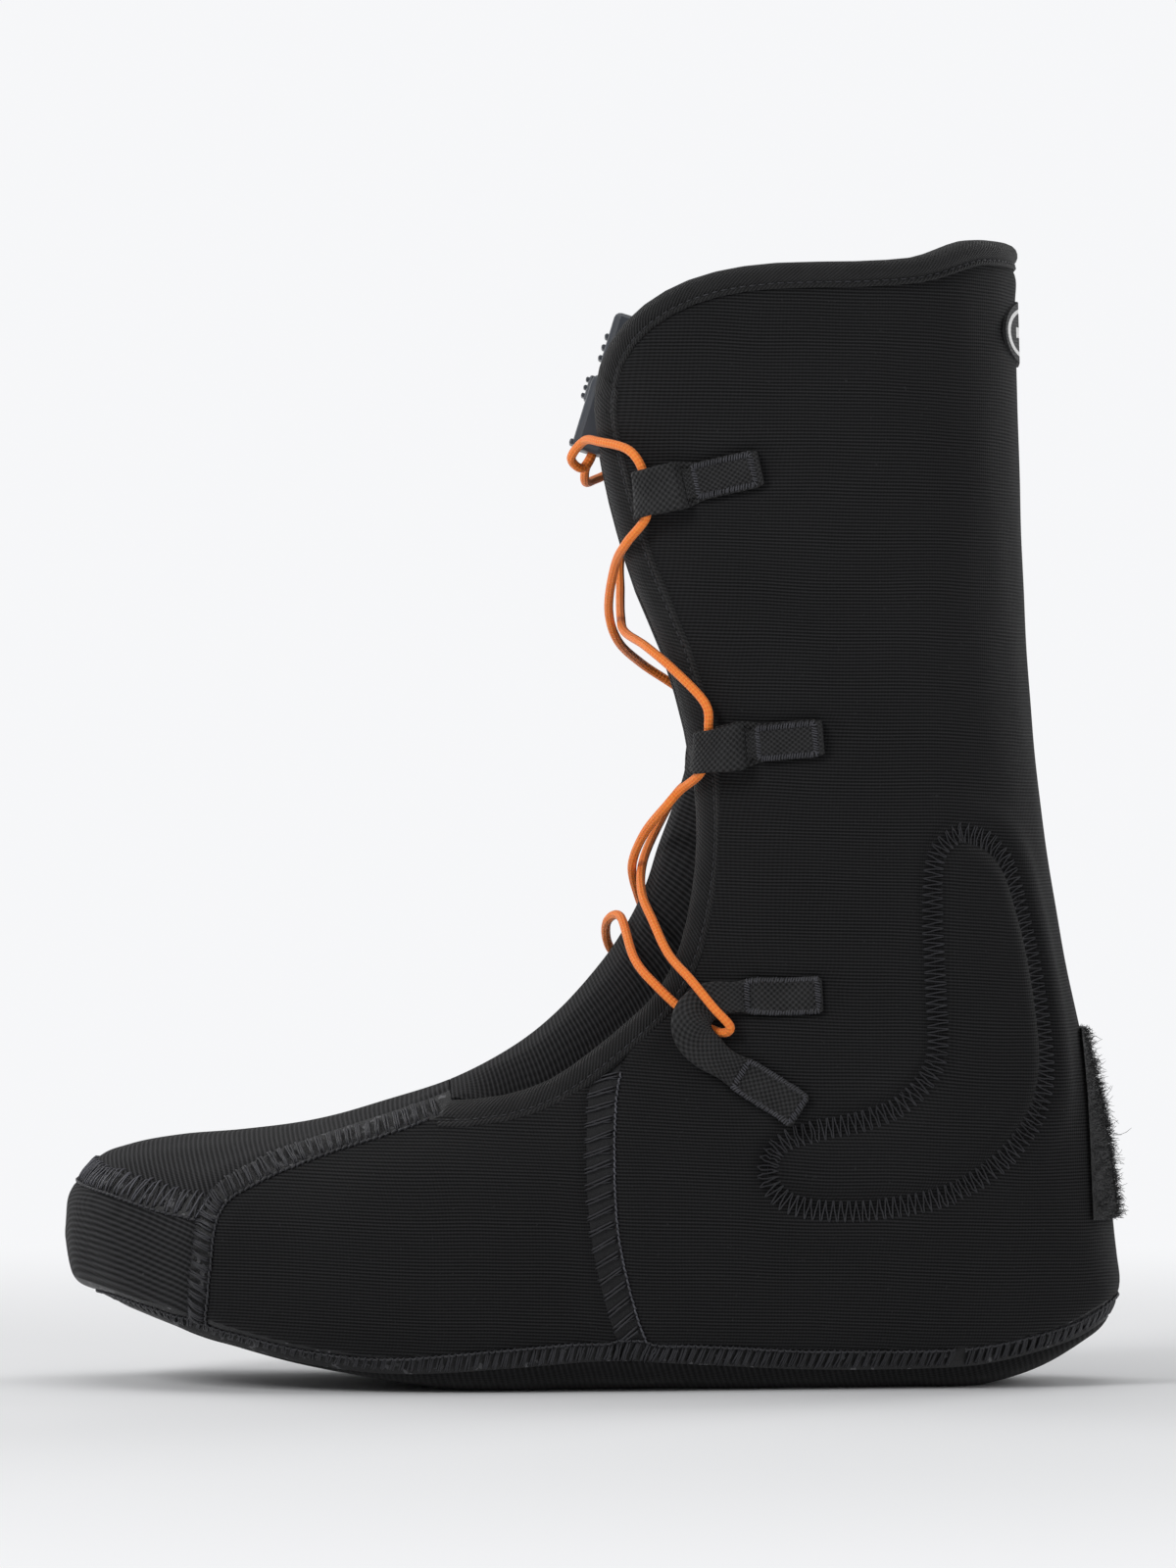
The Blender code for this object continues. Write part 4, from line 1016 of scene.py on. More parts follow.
sole_seam = Seam(SOLE_PATH)
BUNDLE = ((0, 0), (0.48, 0.05), (0.98, -0.05))
sewn("sole_edge_stitching", [
    sole_strip,
    sole_seam.stitches("sole_wraps", 2.55, ((0, -2.5), (1.5, 2.8)), 0.28, THREAD, 0.85, bundle=BUNDLE),
    sole_seam.chain("sole_chain", -2.95, 1.75, 0.34, THREAD, 0.55),
], "sole_seam")

cap_seam = Seam(CAP_PATH)
toe_parts = [
    toe_strip,
    cap_seam.stitches("cap_loops", 1.95, ((0, 2.9), (-1.7, -5.2)), 0.23, CHAIN, 0.9,
                      jitter=0.5, first=3, points=8),
    cap_seam.stitches("cap_loops_under", 2.3, ((0, 2.9), (0.9, -3.9)), 0.20, THREAD, 0.6,
                      jitter=0.5, first=3, points=8),
    cap_seam.chain("cap_chain", 3.1, 1.8, 0.36, THREAD, 0.5),
]
quarter_parts = {}
for side, word in SIDES:
    seam = Seam(FOREFOOT_PATH[side], level=True)
    up = -side
    toe_parts += [
        seam.stitches(f"forefoot_wraps_{word}", 2.75, ((0, -2.7 * up), (1.9, 2.9 * up)), 0.31, THREAD, 1.35,
                      bundle=BUNDLE, first=2, last=seam.bare - 3, jitter=0.2),
        seam.chain(f"forefoot_chain_{word}", -3.1 * up, 1.8, 0.34, THREAD, 0.5),
    ]
    seam = Seam(QUARTER_PATH[side], level=True)
    front = -side
    quarter_parts[word] = [
        QUARTER_STRIPS[f"quarter_strip_{word}"],
        seam.stitches(f"quarter_threads_{word}", 4.3, ((0, 3.9 * front), (3.1, -3.5 * front)), 0.27, THREAD,
                      0.5, bundle=((0, 0), (1.0, 0.0)), first=3, last=seam.bare, points=8),
        seam.stitches(f"quarter_cross_{word}", 4.3, ((0.4, 3.8 * front), (1.1, -3.2 * front)), 0.19, THREAD,
                      0.3, first=4, last=seam.bare, points=7),
        seam.chain(f"quarter_chain_{word}", -3.75 * front, 1.75, 0.30, CHAIN, 0.5),
    ]
sewn("toe_stitching", toe_parts, "toe_seam")
for side, word in SIDES:
    sewn(f"quarter_stitching_{word}", quarter_parts[word], f"quarter_seam_{word}")
    seam = Seam(np.concatenate([PAD_PATH[side], PAD_PATH[side][1:4]]))
    rungs = [
        seam.stitches(f"pad_{kind}_{word}", 2.1, shape, 0.18, THREAD, 0.25, jitter=0.12, first=0, last=0)
        for kind, shape in (("rungs", ((0, -2.4), (0.85, 2.4))), ("returns", ((0.95, 2.4), (2.0, -2.4))))
    ]
    sewn(f"ankle_padding_stitched_{word}", [PADS[f"ankle_padding_{word}"]] + rungs, f"ankle_pad_{word}")
sewn("leg_and_heel_shell", [PANELS["shell_of_the_leg"]], "quarter_shell")
sewn("toe_cap_fabric", [PANELS["toe_cap_panel"]], "toe_cap")
sewn("vamp_fabric", [PANELS["vamp_panel"]], "vamp")
sewn("underfoot_fabric", [PANELS["underfoot_panel"]], "sole_panel")
for side, word in SIDES:
    sewn(f"forefoot_fabric_{word}", [PANELS[f"forefoot_side_{word}"]], f"forefoot_panel_{word}")


# The binding tape, folded over the edge of the laminate and the lining

def resample(points, extra, step):
    known = lengths(points)
    where = np.linspace(0, known[-1], int(known[-1] / step) + 1)
    return between(where, known, points), between(where, known, extra)


half_normals = body_normals(edge_rings, edge_turns)
mirror_normals = body_normals(edge_rings, -edge_turns)[::-1]
edge_points, edge_ups = resample(np.concatenate([half_edge, mirror_edge[1:]]),
                                 np.concatenate([half_normals, mirror_normals[1:]]), 0.8 * MM)
edge_ups = unit(edge_ups)
if ((edge_points - edge_points.mean(0)) * edge_ups)[:, 1].sum() < 0:
    edge_ups = -edge_ups
edge_along = unit(np.gradient(edge_points, axis=0))
edge_in = unit(np.cross(edge_ups, edge_along))
probe = body_points(edge_rings[40], edge_turns[40] + 0.05) - body_points(edge_rings[40], edge_turns[40])
nearest = np.argmin(np.linalg.norm(edge_points - half_edge[40], axis=1))
if np.dot(edge_in[nearest], probe) < 0:
    edge_in = -edge_in
TAPE_SECTION = (
    (6.9, -1.4), (7.05, -0.3), (6.95, 0.45), (6.5, 0.85), (6.0, 0.72), (5.6, 0.12), (5.2, 0.28), (4.5, 0.95),
    (3.6, 1.35), (2.5, 1.35), (1.5, 0.95), (0.7, 0.15), (0.15, -1.0), (0.0, -2.4), (0.0, -4.2), (0.1, -6.0),
    (0.6, -7.4), (1.6, -8.3), (3.0, -8.7), (4.6, -8.6), (5.6, -8.2), (6.4, -7.4), (6.5, -4.5),
)
known = lengths(edge_points) / MM
sway = 1 + 0.05 * np.sin(known / 17) + 0.03 * np.sin(known / 6.1)
seen = unit(edge_along[:, ::2])
reach = np.abs(seen[:, 0] * edge_in[:, 2] - seen[:, 1] * edge_in[:, 0])
wider = np.convolve(np.pad(1 / np.clip(reach, 0.5, 1), 6, mode="edge"), np.ones(13) / 13, mode="valid")
tape_rows = []
for s, h in TAPE_SECTION:
    found = [BASE.find_nearest(Vector(p)) for p in edge_points + edge_in * (s * wider)[:, None] * MM]
    place, up = np.array([f[0] for f in found]), np.array([f[1] for f in found])
    up = up * np.sign((up * edge_ups).sum(axis=1))[:, None]
    proud = (h * sway if h > 0 else h + 0 * sway)[:, None] * MM
    tape_rows.append(place + unit(up * 2 + edge_ups) * proud)
tape_rows = np.stack(tape_rows, axis=1)
binding = sweep("binding", tape_rows, TAPE)
stitch_line = tape_rows[:, 5] + edge_ups * 0.12 * MM
known = lengths(stitch_line) / MM
starts = np.arange(3, known[-1] - 3, 2.6)
f = np.linspace(0, 1, 6)
s = starts[:, None] + 2.0 * f
place, up = between(s, known, stitch_line), between(s, known, edge_ups)
place += up * (0.34 * np.sin(pi * f) ** 0.5 - 0.15)[None, :, None] * MM
binding_stitches = threads("binding_stitches", place, up, 0.23 * MM, THREAD)
sewn("collar_binding_tape", [binding, binding_stitches], "collar_binding")


# Lace loops of webbing

BIGHT_RISE = 4.0
WEBBING = 1.1           # its thickness
LOOPS = {
    "upper": {"bight": (17.0, 244.3), "tab": (46.0, 250.6), "fold": (-0.07, 1.0)},
    "middle": {"bight": (33.6, 175.3), "tab": (63.0, 177.7), "fold": (0.11, 1.0)},
}
LOWER_ARCH = (
    (63.0, 107.8, 1.0), (53.0, 107.2, 1.0), (43.0, 107.0, 1.9), (34.5, 105.6, 3.7), (29.0, 101.6, 4.2),
    (28.6, 95.6, 4.1), (33.4, 90.6, 3.2), (41.0, 86.0, 1.6), (49.0, 81.0, 1.0), (57.0, 75.8, 1.0),
)


def strap(name, path, lies, widths, look, bend=0.0, rims=0.0):
    """Webbing along a path, lying flat along the lies. bend bows it up, and rims raises its edges."""
    path, lies = np.asarray(path), unit(np.asarray(lies))
    tangent = unit(np.gradient(path, axis=0))
    out = unit(np.cross(lies, tangent))
    bend, rims, widths = (np.broadcast_to(np.asarray(a, float), len(path)) for a in (bend, rims, widths))
    shape = []
    for f in np.linspace(-1, 1, 17):
        edge = 0.13 * (abs(f) > 0.7) - 0.35 * (abs(f) > 0.97)
        shape.append((f, 0.5 + edge + rims * (0.45 * ease(abs(f), 0.60, 0.80) - 0.18) + bend * (1 - f * f)))
    shape += [(f, -0.5 + 0.3 * (abs(f) > 0.97) + bend * (1 - f * f)) for f, _ in shape[::-1]]
    rows = [path + lies * (f * widths / 2 * MM)[:, None] + out * (h * WEBBING * MM)[:, None]
            for f, h in shape]
    return sweep(name, np.stack(rows, axis=1), look)


def hem(name, path, lies, ups, widths):
    """Close stitching over the border of a sewn tab, all the way round it."""
    half = (np.asarray(widths) / 2 - 0.75)[:, None] * MM
    lines = [path + lies * half, path[-1:] + lies[-1:] * half[-1:] * np.linspace(0.8, -0.8, 5)[:, None],
             (path - lies * half)[::-1], path[:1] - lies[:1] * half[:1] * np.linspace(0.8, -0.8, 5)[:, None]]
    line = np.concatenate(lines + [lines[0][:2]])
    up = np.concatenate([ups, np.repeat(ups[-1:], 5, axis=0), ups[::-1], np.repeat(ups[:1], 5, axis=0),
                         ups[:2]])
    known = lengths(line) / MM
    starts = np.arange(0, known[-1] - 0.6, 0.72)
    starts = starts + RANDOM.normal(0, 0.07, len(starts))
    place = between(starts, known, line)
    way = unit(between(starts, known, np.gradient(line, axis=0)))
    out = unit(between(starts, known, up))
    across = np.cross(out, way)
    f = np.linspace(-1, 1, 6)[:, None]
    reach = (0.78 + RANDOM.normal(0, 0.08, len(starts)))[:, None, None]
    arch = 0.75 + 0.45 * np.cos(f * 1.35) - 0.35
    paths = place[:, None] + MM * (reach * f * across[:, None] + 0.28 * f * way[:, None]
                                   + arch * out[:, None])
    return threads(name, paths, np.repeat(out[:, None], 6, axis=1), 0.24 * MM, HEM, sides=5)


def loop_strap(name, side, bight, tab, fold):
    bight, tab, fold = np.array(bight), np.array(tab), unit(np.array(fold))
    length = np.linalg.norm(tab - bight)
    reach = (tab - bight) / length
    square = np.array((-reach[1], reach[0]))
    radius = LACE_DIAMETER / 2 + 0.5 + WEBBING / 2
    profile = [(length, 0.75), (length * 0.75, 0.75), (length * 0.5, 0.75), (length * 0.25, 0.8),
               (2.0, BIGHT_RISE - radius)]
    profile += [(-radius * cos(radians(a)), BIGHT_RISE - radius * sin(radians(a)))
                for a in (60, 30, 0, -30, -60)]
    profile += [(1.5, BIGHT_RISE + radius), (4.4, 6.0), (7.2, 5.5), (9.4, 3.0), (11.2, 1.8), (15, 1.95),
                (length * 0.6, 1.95), (length * 0.8, 1.95), (length, 1.95)]
    fold_at = 7.5
    places = smooth_line(profile, 5)
    path, lies, ups = [], [], []
    for s, h in places:
        lie = fold + (square - fold) * ease(s, 2, 9)
        lie /= np.linalg.norm(lie)
        x, z = bight + reach * s
        (low, _), (high, _) = (on_side(x + lie[0] * w, z + lie[1] * w, side) for w in (-4, 4))
        spot, normal = on_side(x, z, side)
        path.append(spot + normal * h * MM)
        lies.append(unit(high - low))
        ups.append(normal)
    path, lies, ups = np.array(path), np.array(lies), np.array(ups)
    s, top = places[:, 0], np.arange(len(places)) > fold_at * 5
    pinch = hump(s, 10.6, 1.5)
    widths = 12.8 - top * (3.0 * ease(s, 8.3, 10.8) + 1.9 * pinch) - 2.4 * ease(s, 8, 14) * ~top
    ends = 1.6 * ease(s, length - 1.8, length)
    head = top * (1 - ease(s, 6, 10))
    body = strap(name, path, lies, widths - ends, WEBBING_LOOK, bend=0.45 * head - 1.1 * pinch * top,
                 rims=top * ease(s, 11, 12.5))
    on_top = top & (s > 12.2) & (s < length - 0.9)
    sewing = hem(name + "_sewing", path[on_top], lies[on_top], ups[on_top], widths[on_top])
    return [body, sewing]


def loop_arch(name, side):
    points = smooth_line(LOWER_ARCH, 6)
    f = np.linspace(0, 1, len(points))
    middle = hump(f, 0.47, 0.14)
    found = [on_side(x, z, side, h + 0.9 * m) for (x, z, h), m in zip(points, middle)]
    path, ups = np.array([p[0] for p in found]), np.array([p[1] for p in found])
    tangent = unit(np.gradient(path, axis=0))
    lies = unit(np.cross(tangent, ups))
    pinches = hump(f, 0.27, 0.05), hump(f, 0.72, 0.05)
    widths = 10.2 - 1.9 * pinches[0] - 1.9 * pinches[1] + 1.0 * middle
    ends = 1.5 * (1 - ease(f, 0, 0.02)) + 1.5 * ease(f, 0.98, 1)
    tabs = 1 - ease(f, 0.20, 0.25) * (1 - ease(f, 0.75, 0.80))
    bend = 0.9 * middle - 0.5 * sum(pinches)
    parts = [strap(name, path, lies, widths - ends, WEBBING_LOOK, bend=bend, rims=tabs)]
    for label, keep in (("front", (f > 0.012) & (f < 0.235)), ("back", (f > 0.765) & (f < 0.988))):
        parts.append(hem(f"{name}_{label}", path[keep], lies[keep], ups[keep], widths[keep]))
    return parts


for side, word in SIDES:
    for level in ("upper", "middle"):
        spec = LOOPS[level]
        parts = loop_strap(f"webbing_{level}_{word}", side, spec["bight"], spec["tab"], spec["fold"])
        sewn(f"webbing_loop_{level}_{word}", parts, f"lace_loop_{level}_{word}")
    sewn(f"webbing_loop_lower_{word}", loop_arch(f"webbing_lower_{word}", side), f"lace_loop_lower_{word}")


# The lace

LOCK = Matrix.Translation(metres(-1.0, 0.0, 256.3)) @ Matrix.Rotation(radians(17), 4, "Y")
CHANNEL_X, LOCK_CHANNEL_Y, LACE_IN_LOCK = 1.3, 5.7, 11.0


def on_lock(x, y, z):
    return np.array(LOCK @ metres(x, y, z))


def tube(name, path, radius, look, sides=14):
    """A round cord along a path. radius is one number or one for each point, in millimetres."""
    path = np.asarray(path, float)
    tangent = unit(np.gradient(path, axis=0))
    side = unit(np.cross(tangent[0], (0.3, 0.2, 0.93)))
    frames = []
    for t in tangent:
        side = unit(side - t * (side @ t))
        frames.append((side, np.cross(t, side)))
    a = 2 * pi * np.arange(sides)[:, None] / sides
    size = np.broadcast_to(np.asarray(radius, float), len(path)) * MM
    rows = [p + r * (np.cos(a) * u + np.sin(a) * v) for p, r, (u, v) in zip(path, size, frames)]
    return sweep(name, rows, look)


def over(side):
    return lambda x, z, height: on_side(x, z, side, height)[0]


def lace_route():
    lat, med = over(LATERAL), over(MEDIAL)
    at = metres
    y = LOCK_CHANNEL_Y
    rise = BIGHT_RISE
    return [
        on_lock(CHANNEL_X, -y, LACE_IN_LOCK), on_lock(CHANNEL_X, -y, 5), on_lock(CHANNEL_X, -y, -0.6),
        at(-2.6, -7.0, 251.9), at(-5.4, -11.0, 254.6), at(-1.8, -18.0, 259.0), lat(5.6, 258.9, 3.4),
        lat(12.6, 256.2, 3.8), lat(16.4, 250.6, rise), lat(17.0, 244.3, rise), lat(17.5, 238.0, rise),
        lat(12.8, 231.4, 3.7), at(6.6, -21.0, 224.8), at(4.9, -4.0, 213.4), at(7.4, 8.0, 204.8),
        at(14.0, 27.5, 198.8), med(25.5, 193.2, 3.6), med(33.2, 187.6, 3.9), med(34.2, 181.4, rise),
        med(33.6, 175.3, rise), med(32.8, 169.0, rise), med(27.6, 163.4, 3.9), at(20.4, 22.5, 156.6),
        at(14.7, 3.5, 144.6), lat(16.2, 134.4, 2.7), lat(18.3, 126.2, 3.0), lat(22.6, 117.2, 3.6),
        lat(29.2, 110.2, 6.3), lat(35.2, 103.2, 6.8), lat(38.8, 98.4, 4.4), lat(35.2, 97.2, 1.8),
        lat(27.5, 101.2, 1.8), lat(19.2, 108.6, 3.0), lat(13.2, 116.2, 2.8), at(8.2, -8.5, 128.4),
        at(4.4, 2.5, 126.8), at(5.2, 13.5, 119.8), med(13.0, 112.6, 2.8), med(19.2, 108.0, 3.0),
        med(27.5, 101.2, 1.8), med(35.2, 97.2, 1.8), med(38.8, 98.4, 4.4), med(35.2, 103.2, 6.8),
        med(29.2, 110.2, 6.3), med(22.6, 117.2, 3.6), med(17.6, 126.6, 3.0), at(12.9, 9.0, 134.8),
        at(11.4, -0.5, 142.8), at(14.8, -11.5, 151.6), at(20.8, -23.0, 159.2), lat(27.6, 163.8, 3.9),
        lat(32.8, 169.0, rise), lat(33.6, 175.3, rise), lat(34.2, 181.4, rise), lat(33.0, 187.8, 3.9),
        lat(26.0, 196.6, 3.8), at(15.0, -26.0, 202.6), at(9.4, -8.0, 206.8), at(8.3, 2.5, 211.0),
        at(8.2, 18.5, 218.8), med(12.6, 230.6, 4.2), med(17.5, 238.0, rise), med(17.0, 244.3, rise),
        med(16.4, 250.6, rise), med(11.6, 253.6, 3.8), med(4.8, 250.6, 3.6), at(-1.4, 14.0, 248.8),
        at(-1.5, 7.0, 252.2), on_lock(CHANNEL_X, y, -0.6), on_lock(CHANNEL_X, y, 5),
        on_lock(CHANNEL_X, y, LACE_IN_LOCK),
    ]


lace_line = even(smooth_line(np.array([tuple(p) for p in lace_route()]), 12), 0.6 * MM)
lace = tube("orange_lace", lace_line, LACE_DIAMETER / 2, BRAID)
sewn("orange_lace", [lace], "lace")
LACE_LENGTH = lengths(lace_line)[-1]
LOCK_LENGTH, HANDLE_GAP = 21.2, 2.6
low = LOCK_LENGTH + HANDLE_GAP
for y, word in ((-LOCK_CHANNEL_Y, "lateral"), (LOCK_CHANNEL_Y, "medial")):
    up = np.linspace(LACE_IN_LOCK + 0.5, low + 9.4, 60)
    knot = 0.85 * np.exp(-((up - low - 7.9) / 1.0) ** 2)
    thick = LACE_DIAMETER / 2 + knot - 1.0 * ease(up, low + 8.6, low + 9.4)
    lean = CHANNEL_X - 0.55 * ease(up, low + 5.5, low + 7.5)
    path = [on_lock(x, y, z) for x, z in zip(lean, up)]
    sewn(f"lace_end_{word}", [tube(f"lace_end_{word}", path, thick, BRAID)], f"lace_tail_{word}",
         body="pull_handle")


# The tongue, a padded knit layer over a fleece layer, in place of the CAD tongue and its lining

TONGUE_FIRST, TONGUE_LAST = 7.96, 23.35
TONGUE_SINK = (0,) * 14 + (0.4, 2.5, 6.0, 9.0, 10.0, 9.5, 8.4, 7.6, 9.6, 16.4, 23.2)
UNDER_FLAP = 9.3


def tongue_layer(name, depth, thickness, look, soft, rows=170, columns=84):
    """One layer of the tongue. Its lower end is flush with the vamp, and its sides dip below the flaps."""
    rings = np.linspace(TONGUE_FIRST, TONGUE_LAST, rows + 1)
    at_edge = edge_angles(rings)[:, None]
    from_throat = rings[:, None] - TONGUE_FIRST
    half = at_edge - 0.012 + (0.082 + 0.17 * ease(rings[:, None], 8.6, 11)) * ease(from_throat, 0.7, 1.35)
    sink = along(np.array(TONGUE_SINK, float)[:, None], rings)
    under = sink + (np.maximum(UNDER_FLAP, sink) - sink) * ease(from_throat, 0.14, 0.85)
    across = np.linspace(-1, 1, columns + 1)[None]
    angle = half * across
    inset = sink + (under - sink) * ease(np.abs(angle), at_edge - 0.34, at_edge - 0.06)
    spots, ups = body_points(rings[:, None], angle), body_normals(rings[:, None], angle)
    rim = np.minimum((1 - np.abs(across)) * 30, (rings[-1] - rings[:, None]) * 14)
    rim = np.maximum(rim, 2.6 * (1 - ease(from_throat, 0, 0.4)))
    flat = spots.reshape(-1, 3)
    sway = (0.28 * waves(flat, 55, 3) + 0.10 * waves(flat, 19, 4)).reshape(spots.shape[:2])
    puff = soft * (-1.4 * (1 - ease(rim, 0, 2.6)) + sway)
    outer = spots - ups * (inset + depth - puff)[..., None] * MM
    inner = spots - ups * (inset + depth + thickness)[..., None] * MM
    n, k = spots.shape[:2]
    index = np.arange(n * k).reshape(n, k)
    quads = np.stack([index[:-1, :-1], index[:-1, 1:], index[1:, 1:], index[1:, :-1]], axis=-1).reshape(-1, 4)
    rim = np.concatenate([index[0, :-1], index[:-1, -1], index[-1, :0:-1], index[:0:-1, 0]])
    walls = np.stack([rim, np.roll(rim, -1), np.roll(rim, -1) + n * k, rim + n * k], axis=1)
    faces = np.concatenate([quads, quads + n * k, walls])
    up = lengths(outer[:, columns // 2])[:, None] + 0 * across
    wide = at_edge * 0.026 * across
    weave = np.tile(np.stack([up, wide], axis=-1).reshape(-1, 2), (2, 1))[faces.ravel()]
    points = np.concatenate([outer.reshape(-1, 3), inner.reshape(-1, 3)])
    made = link(name, mesh_of(name, points, faces.tolist(), weave), look)
    outward(made)
    made.data.set_sharp_from_angle(angle=radians(60))
    return made


for name, depth, thick, look, soft, node in (
        ("tongue_padding", 0.0, 5.5, TONGUE_KNIT, 1.0, "tongue"),
        ("tongue_fleece", 5.9, 1.2, FLEECE, 0.0, "tongue_lining")):
    made = tongue_layer(name, depth, thick, look, soft)
    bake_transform(made)
    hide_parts(node)


# Inside: the fleece lining and the footbed

outer = closed_solid("fleece", inset_grid(220, 200, 6.3))
inner = closed_solid("fleece_inside", inset_grid(220, 200, 7.5))
lining_opening = opening_cutter("lining_opening", BINDING_WIDTH - 0.8, THROAT_X)
boolean(outer, "DIFFERENCE", inner, lining_opening)
remove(inner, lining_opening)
sewn("fleece_lining", [islands(outer, {"fleece_lining": (0, 0, 150)}, FLEECE)["fleece_lining"]], "lining")

FOOTBED_TOP = (
    (-140, 43), (-128, 37.5), (-112, 30.5), (-96, 25), (-77, 20), (-56, 15.8), (-30, 13.4), (0, 12.6),
    (60, 12.6), (110, 13.2), (145, 15),
)
insole = closed_solid("insole", inset_grid(220, 160, 8.0))
insole_cut = prism("insole_cut", smooth_line(FOOTBED_TOP, 5).tolist() + [(145, -30), (-140, -30)])
nose = box("insole_nose", (-160, -90, -10), (-131, 90, 90))
boolean(insole, "INTERSECT", insole_cut)
boolean(insole, "DIFFERENCE", nose)
remove(insole_cut, nose)
surfaced(insole, FOOTBED_LOOK)
sewn("insole", [insole], "footbed", body="footbed")


# The heel patch of loop pile

pile = closed_solid("pile", skin + normals * 1.25 * MM)
under = closed_solid("pile_under", skin + normals * 0.05 * MM)
patch_outline = prism("patch_outline", (
    (134.6, 98), (135.9, 80), (136.6, 62), (137.2, 46), (160, 46), (160, 98)))
boolean(pile, "DIFFERENCE", under)
boolean(pile, "INTERSECT", patch_outline)
remove(under, patch_outline)
surfaced(pile, PILE)
spots, ways = [], []
for polygon in pile.data.polygons:
    if polygon.normal.x > 0.15:
        for _ in range(RANDOM.poisson(polygon.area / (0.55 * MM * 0.55 * MM))):
            corner = pile.data.vertices[polygon.vertices[RANDOM.integers(len(polygon.vertices))]].co
            spots.append(np.array(polygon.center.lerp(corner, RANDOM.uniform(0, 0.9))))
            ways.append(np.array(polygon.normal))
spots, ways = np.array(spots), np.array(ways)
order = RANDOM.permutation(len(spots))[:5200]
spots, ways = spots[order], ways[order]
lean = unit(RANDOM.normal(size=spots.shape))
curl = unit(RANDOM.normal(size=spots.shape))
long = RANDOM.gamma(4.0, 0.27, len(spots))[:, None] * MM
steps = np.linspace(0, 1, 5)
fibres = np.stack([spots + long * (f * ways + 0.75 * f * f * lean + 0.45 * np.sin(pi * f) * curl)
                   for f in steps], axis=1)
fuzz = threads("fuzz", fibres, np.repeat(lean[:, None], 5, axis=1) + 0.01, 0.07 * MM, PILE, sides=3)
sewn("heel_pile_patch", [pile, fuzz], "heel_patch")


# CAD nodes that are shown as they are, in better materials

def badge_look():
    """The dark knit printed with a pale oval ring round one plain bar."""
    look = Look("printed_badge", (0.02, 0.02, 0.021), 0.6, Specular_IOR_Level=0.3)
    x, y, z = look.place()
    wide = look.math("DIVIDE", y, 0.0225)
    high = look.math("DIVIDE", look.less(z, 0.289), 0.0072)
    far = look.math("SQRT", look.add(look.times(wide, wide), look.times(high, high)))
    ring = look.math("LESS_THAN", look.math("ABSOLUTE", look.less(far, 0.93)), 0.07)
    bar = look.times(look.math("LESS_THAN", look.math("ABSOLUTE", high), 0.20),
                    look.math("LESS_THAN", look.math("ABSOLUTE", wide), 0.58))
    print_ = look.math("MAXIMUM", ring, bar)
    worn = look.times_add(look.noise(1500, 3, 0.6), 0.5, 0.6)
    look.blend(look.times(print_, worn), (0.008, 0.008, 0.009), (0.85, 0.85, 0.84))
    look.rough(look.noise(1800, 2), 0.45, 0.8)
    look.bump(look.add(look.ribs(z, 0.92), print_), 0.12)
    return look.material


for names, look in (
        (("lock_body", "lock_slider", "pull_handle", "handle_cover"), PLASTIC),
        (("lock_spring",), STEEL), (("rear_badge",), badge_look())):
    for name in names:
        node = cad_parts[name]
        node.data.materials.clear()
        node.data.materials.append(look)


# The studio: a pale floor that fades into a white surround, and large soft lights

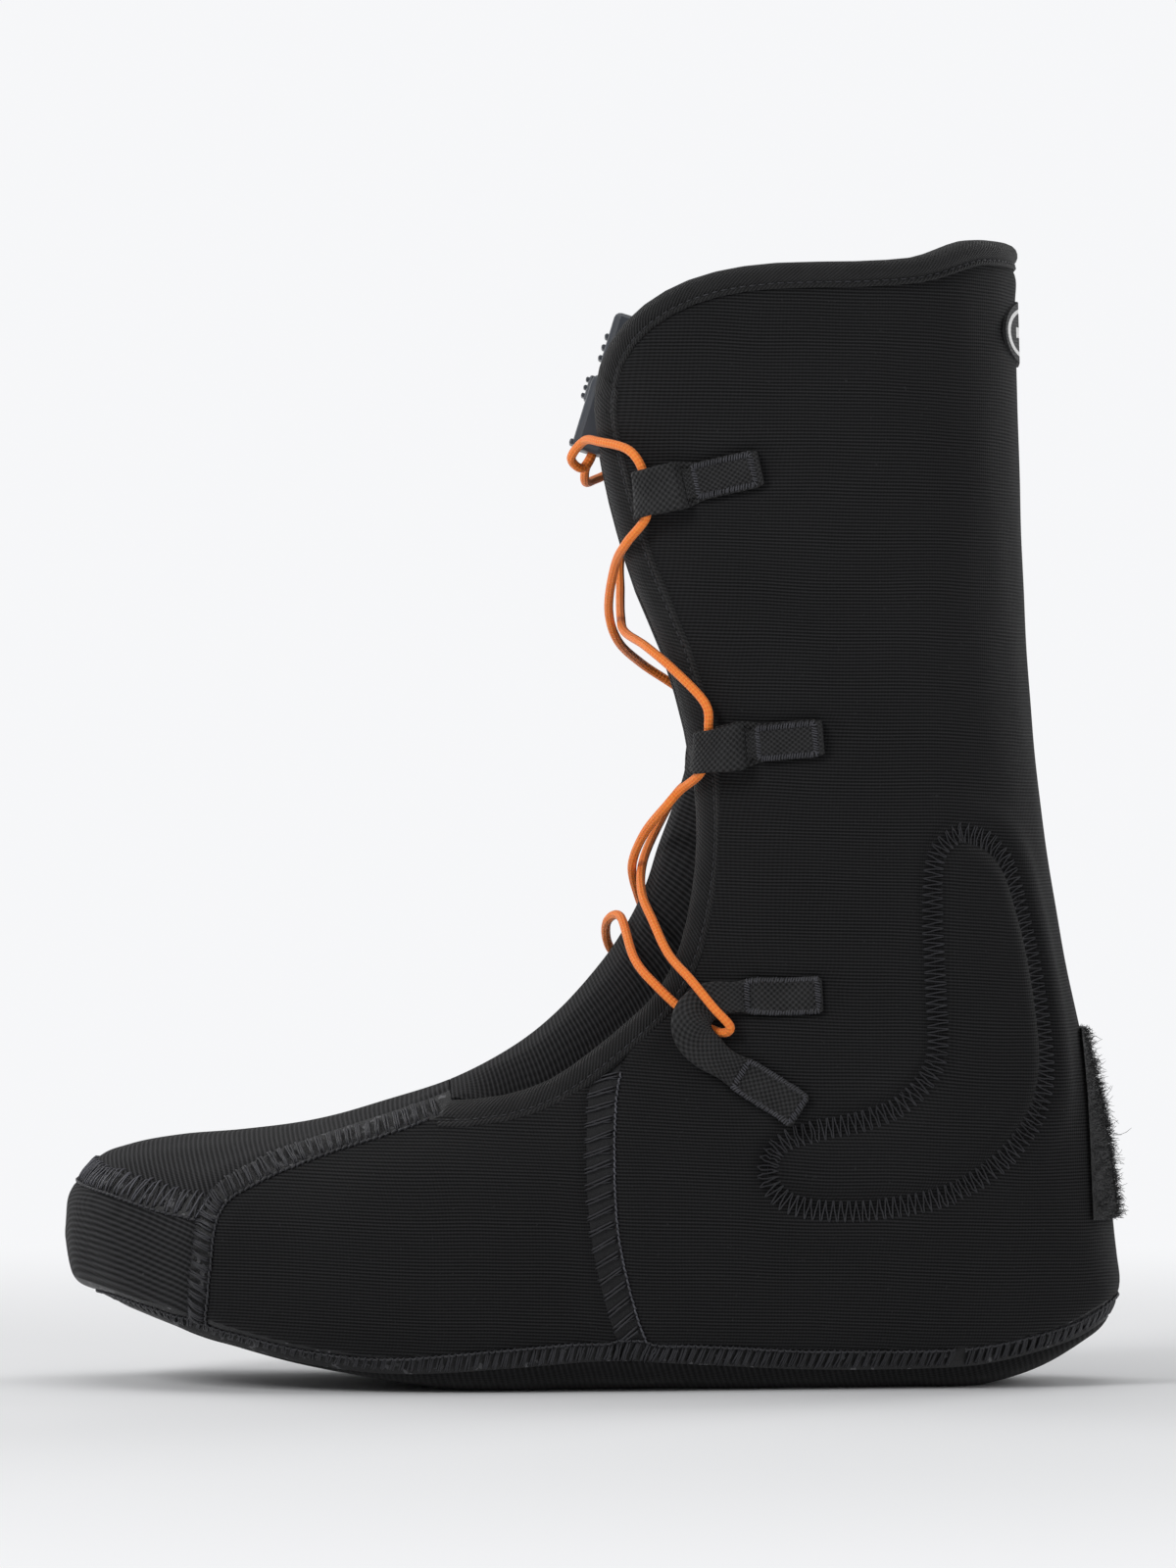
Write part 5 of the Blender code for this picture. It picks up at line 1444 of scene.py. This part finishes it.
def studio_floor():
    mesh = bpy.data.meshes.new("floor")
    bm = bmesh.new()
    bmesh.ops.create_circle(bm, cap_ends=True, segments=96, radius=6.0)
    bm.to_mesh(mesh)
    bm.free()
    look = bpy.data.materials.new("floor")
    look.use_nodes = True
    tree = look.node_tree
    shader = tree.nodes["Principled BSDF"]
    shader.inputs["Base Color"].default_value = (0.92, 0.925, 0.935, 1)
    shader.inputs["Roughness"].default_value = 0.6
    shader.inputs["Specular IOR Level"].default_value = 0.1
    glow = tree.nodes.new("ShaderNodeEmission")
    glow.inputs["Color"].default_value = SURROUND
    mix = tree.nodes.new("ShaderNodeMixShader")
    far = tree.nodes.new("ShaderNodeVectorMath")
    far.operation = "LENGTH"
    tree.links.new(tree.nodes.new("ShaderNodeTexCoord").outputs["Object"], far.inputs[0])
    fade = tree.nodes.new("ShaderNodeMapRange")
    fade.interpolation_type = "SMOOTHSTEP"
    fade.inputs["From Min"].default_value = 0.22
    fade.inputs["From Max"].default_value = 0.75
    tree.links.new(far.outputs["Value"], fade.inputs["Value"])
    tree.links.new(fade.outputs[0], mix.inputs[0])
    tree.links.new(shader.outputs[0], mix.inputs[1])
    tree.links.new(glow.outputs[0], mix.inputs[2])
    tree.links.new(mix.outputs[0], tree.nodes["Material Output"].inputs["Surface"])
    made = link("floor", mesh, look)
    return made


SURROUND = (0.925, 0.93, 0.945, 1)
studio_floor()
world = bpy.data.worlds.new("surround")
bpy.context.scene.world = world
world.use_nodes = True
tree = world.node_tree
tree.nodes["Background"].inputs["Color"].default_value = SURROUND
seen = tree.nodes.new("ShaderNodeLightPath").outputs["Is Camera Ray"]
strength = tree.nodes.new("ShaderNodeMapRange")
strength.inputs["To Min"].default_value = 0.30
tree.links.new(seen, strength.inputs["Value"])
tree.links.new(strength.outputs[0], tree.nodes["Background"].inputs["Strength"])


def soft_light(name, place, target, size, power):
    light = bpy.data.lights.new(name, "AREA")
    light.shape = "RECTANGLE"
    light.size, light.size_y = size
    light.energy = power
    made = bpy.data.objects.new(name, light)
    bpy.context.scene.collection.objects.link(made)
    made.location = place
    made.rotation_euler = (Vector(target) - Vector(place)).to_track_quat("-Z", "Y").to_euler()


soft_light("key", (-1.0, -1.0, 1.05), (0, 0, 0.13), (0.6, 0.6), 11)
soft_light("fill", (1.2, -0.8, 0.45), (0, 0, 0.13), (0.5, 0.9), 3.5)
soft_light("back_left", (-1.0, 0.9, 0.8), (0, 0, 0.13), (0.6, 0.9), 4)
soft_light("back_right", (1.1, 0.9, 0.8), (0, 0, 0.13), (0.6, 0.9), 5)
soft_light("top", (0.0, 0.1, 1.5), (0, 0, 0.1), (1.4, 1.0), 6)
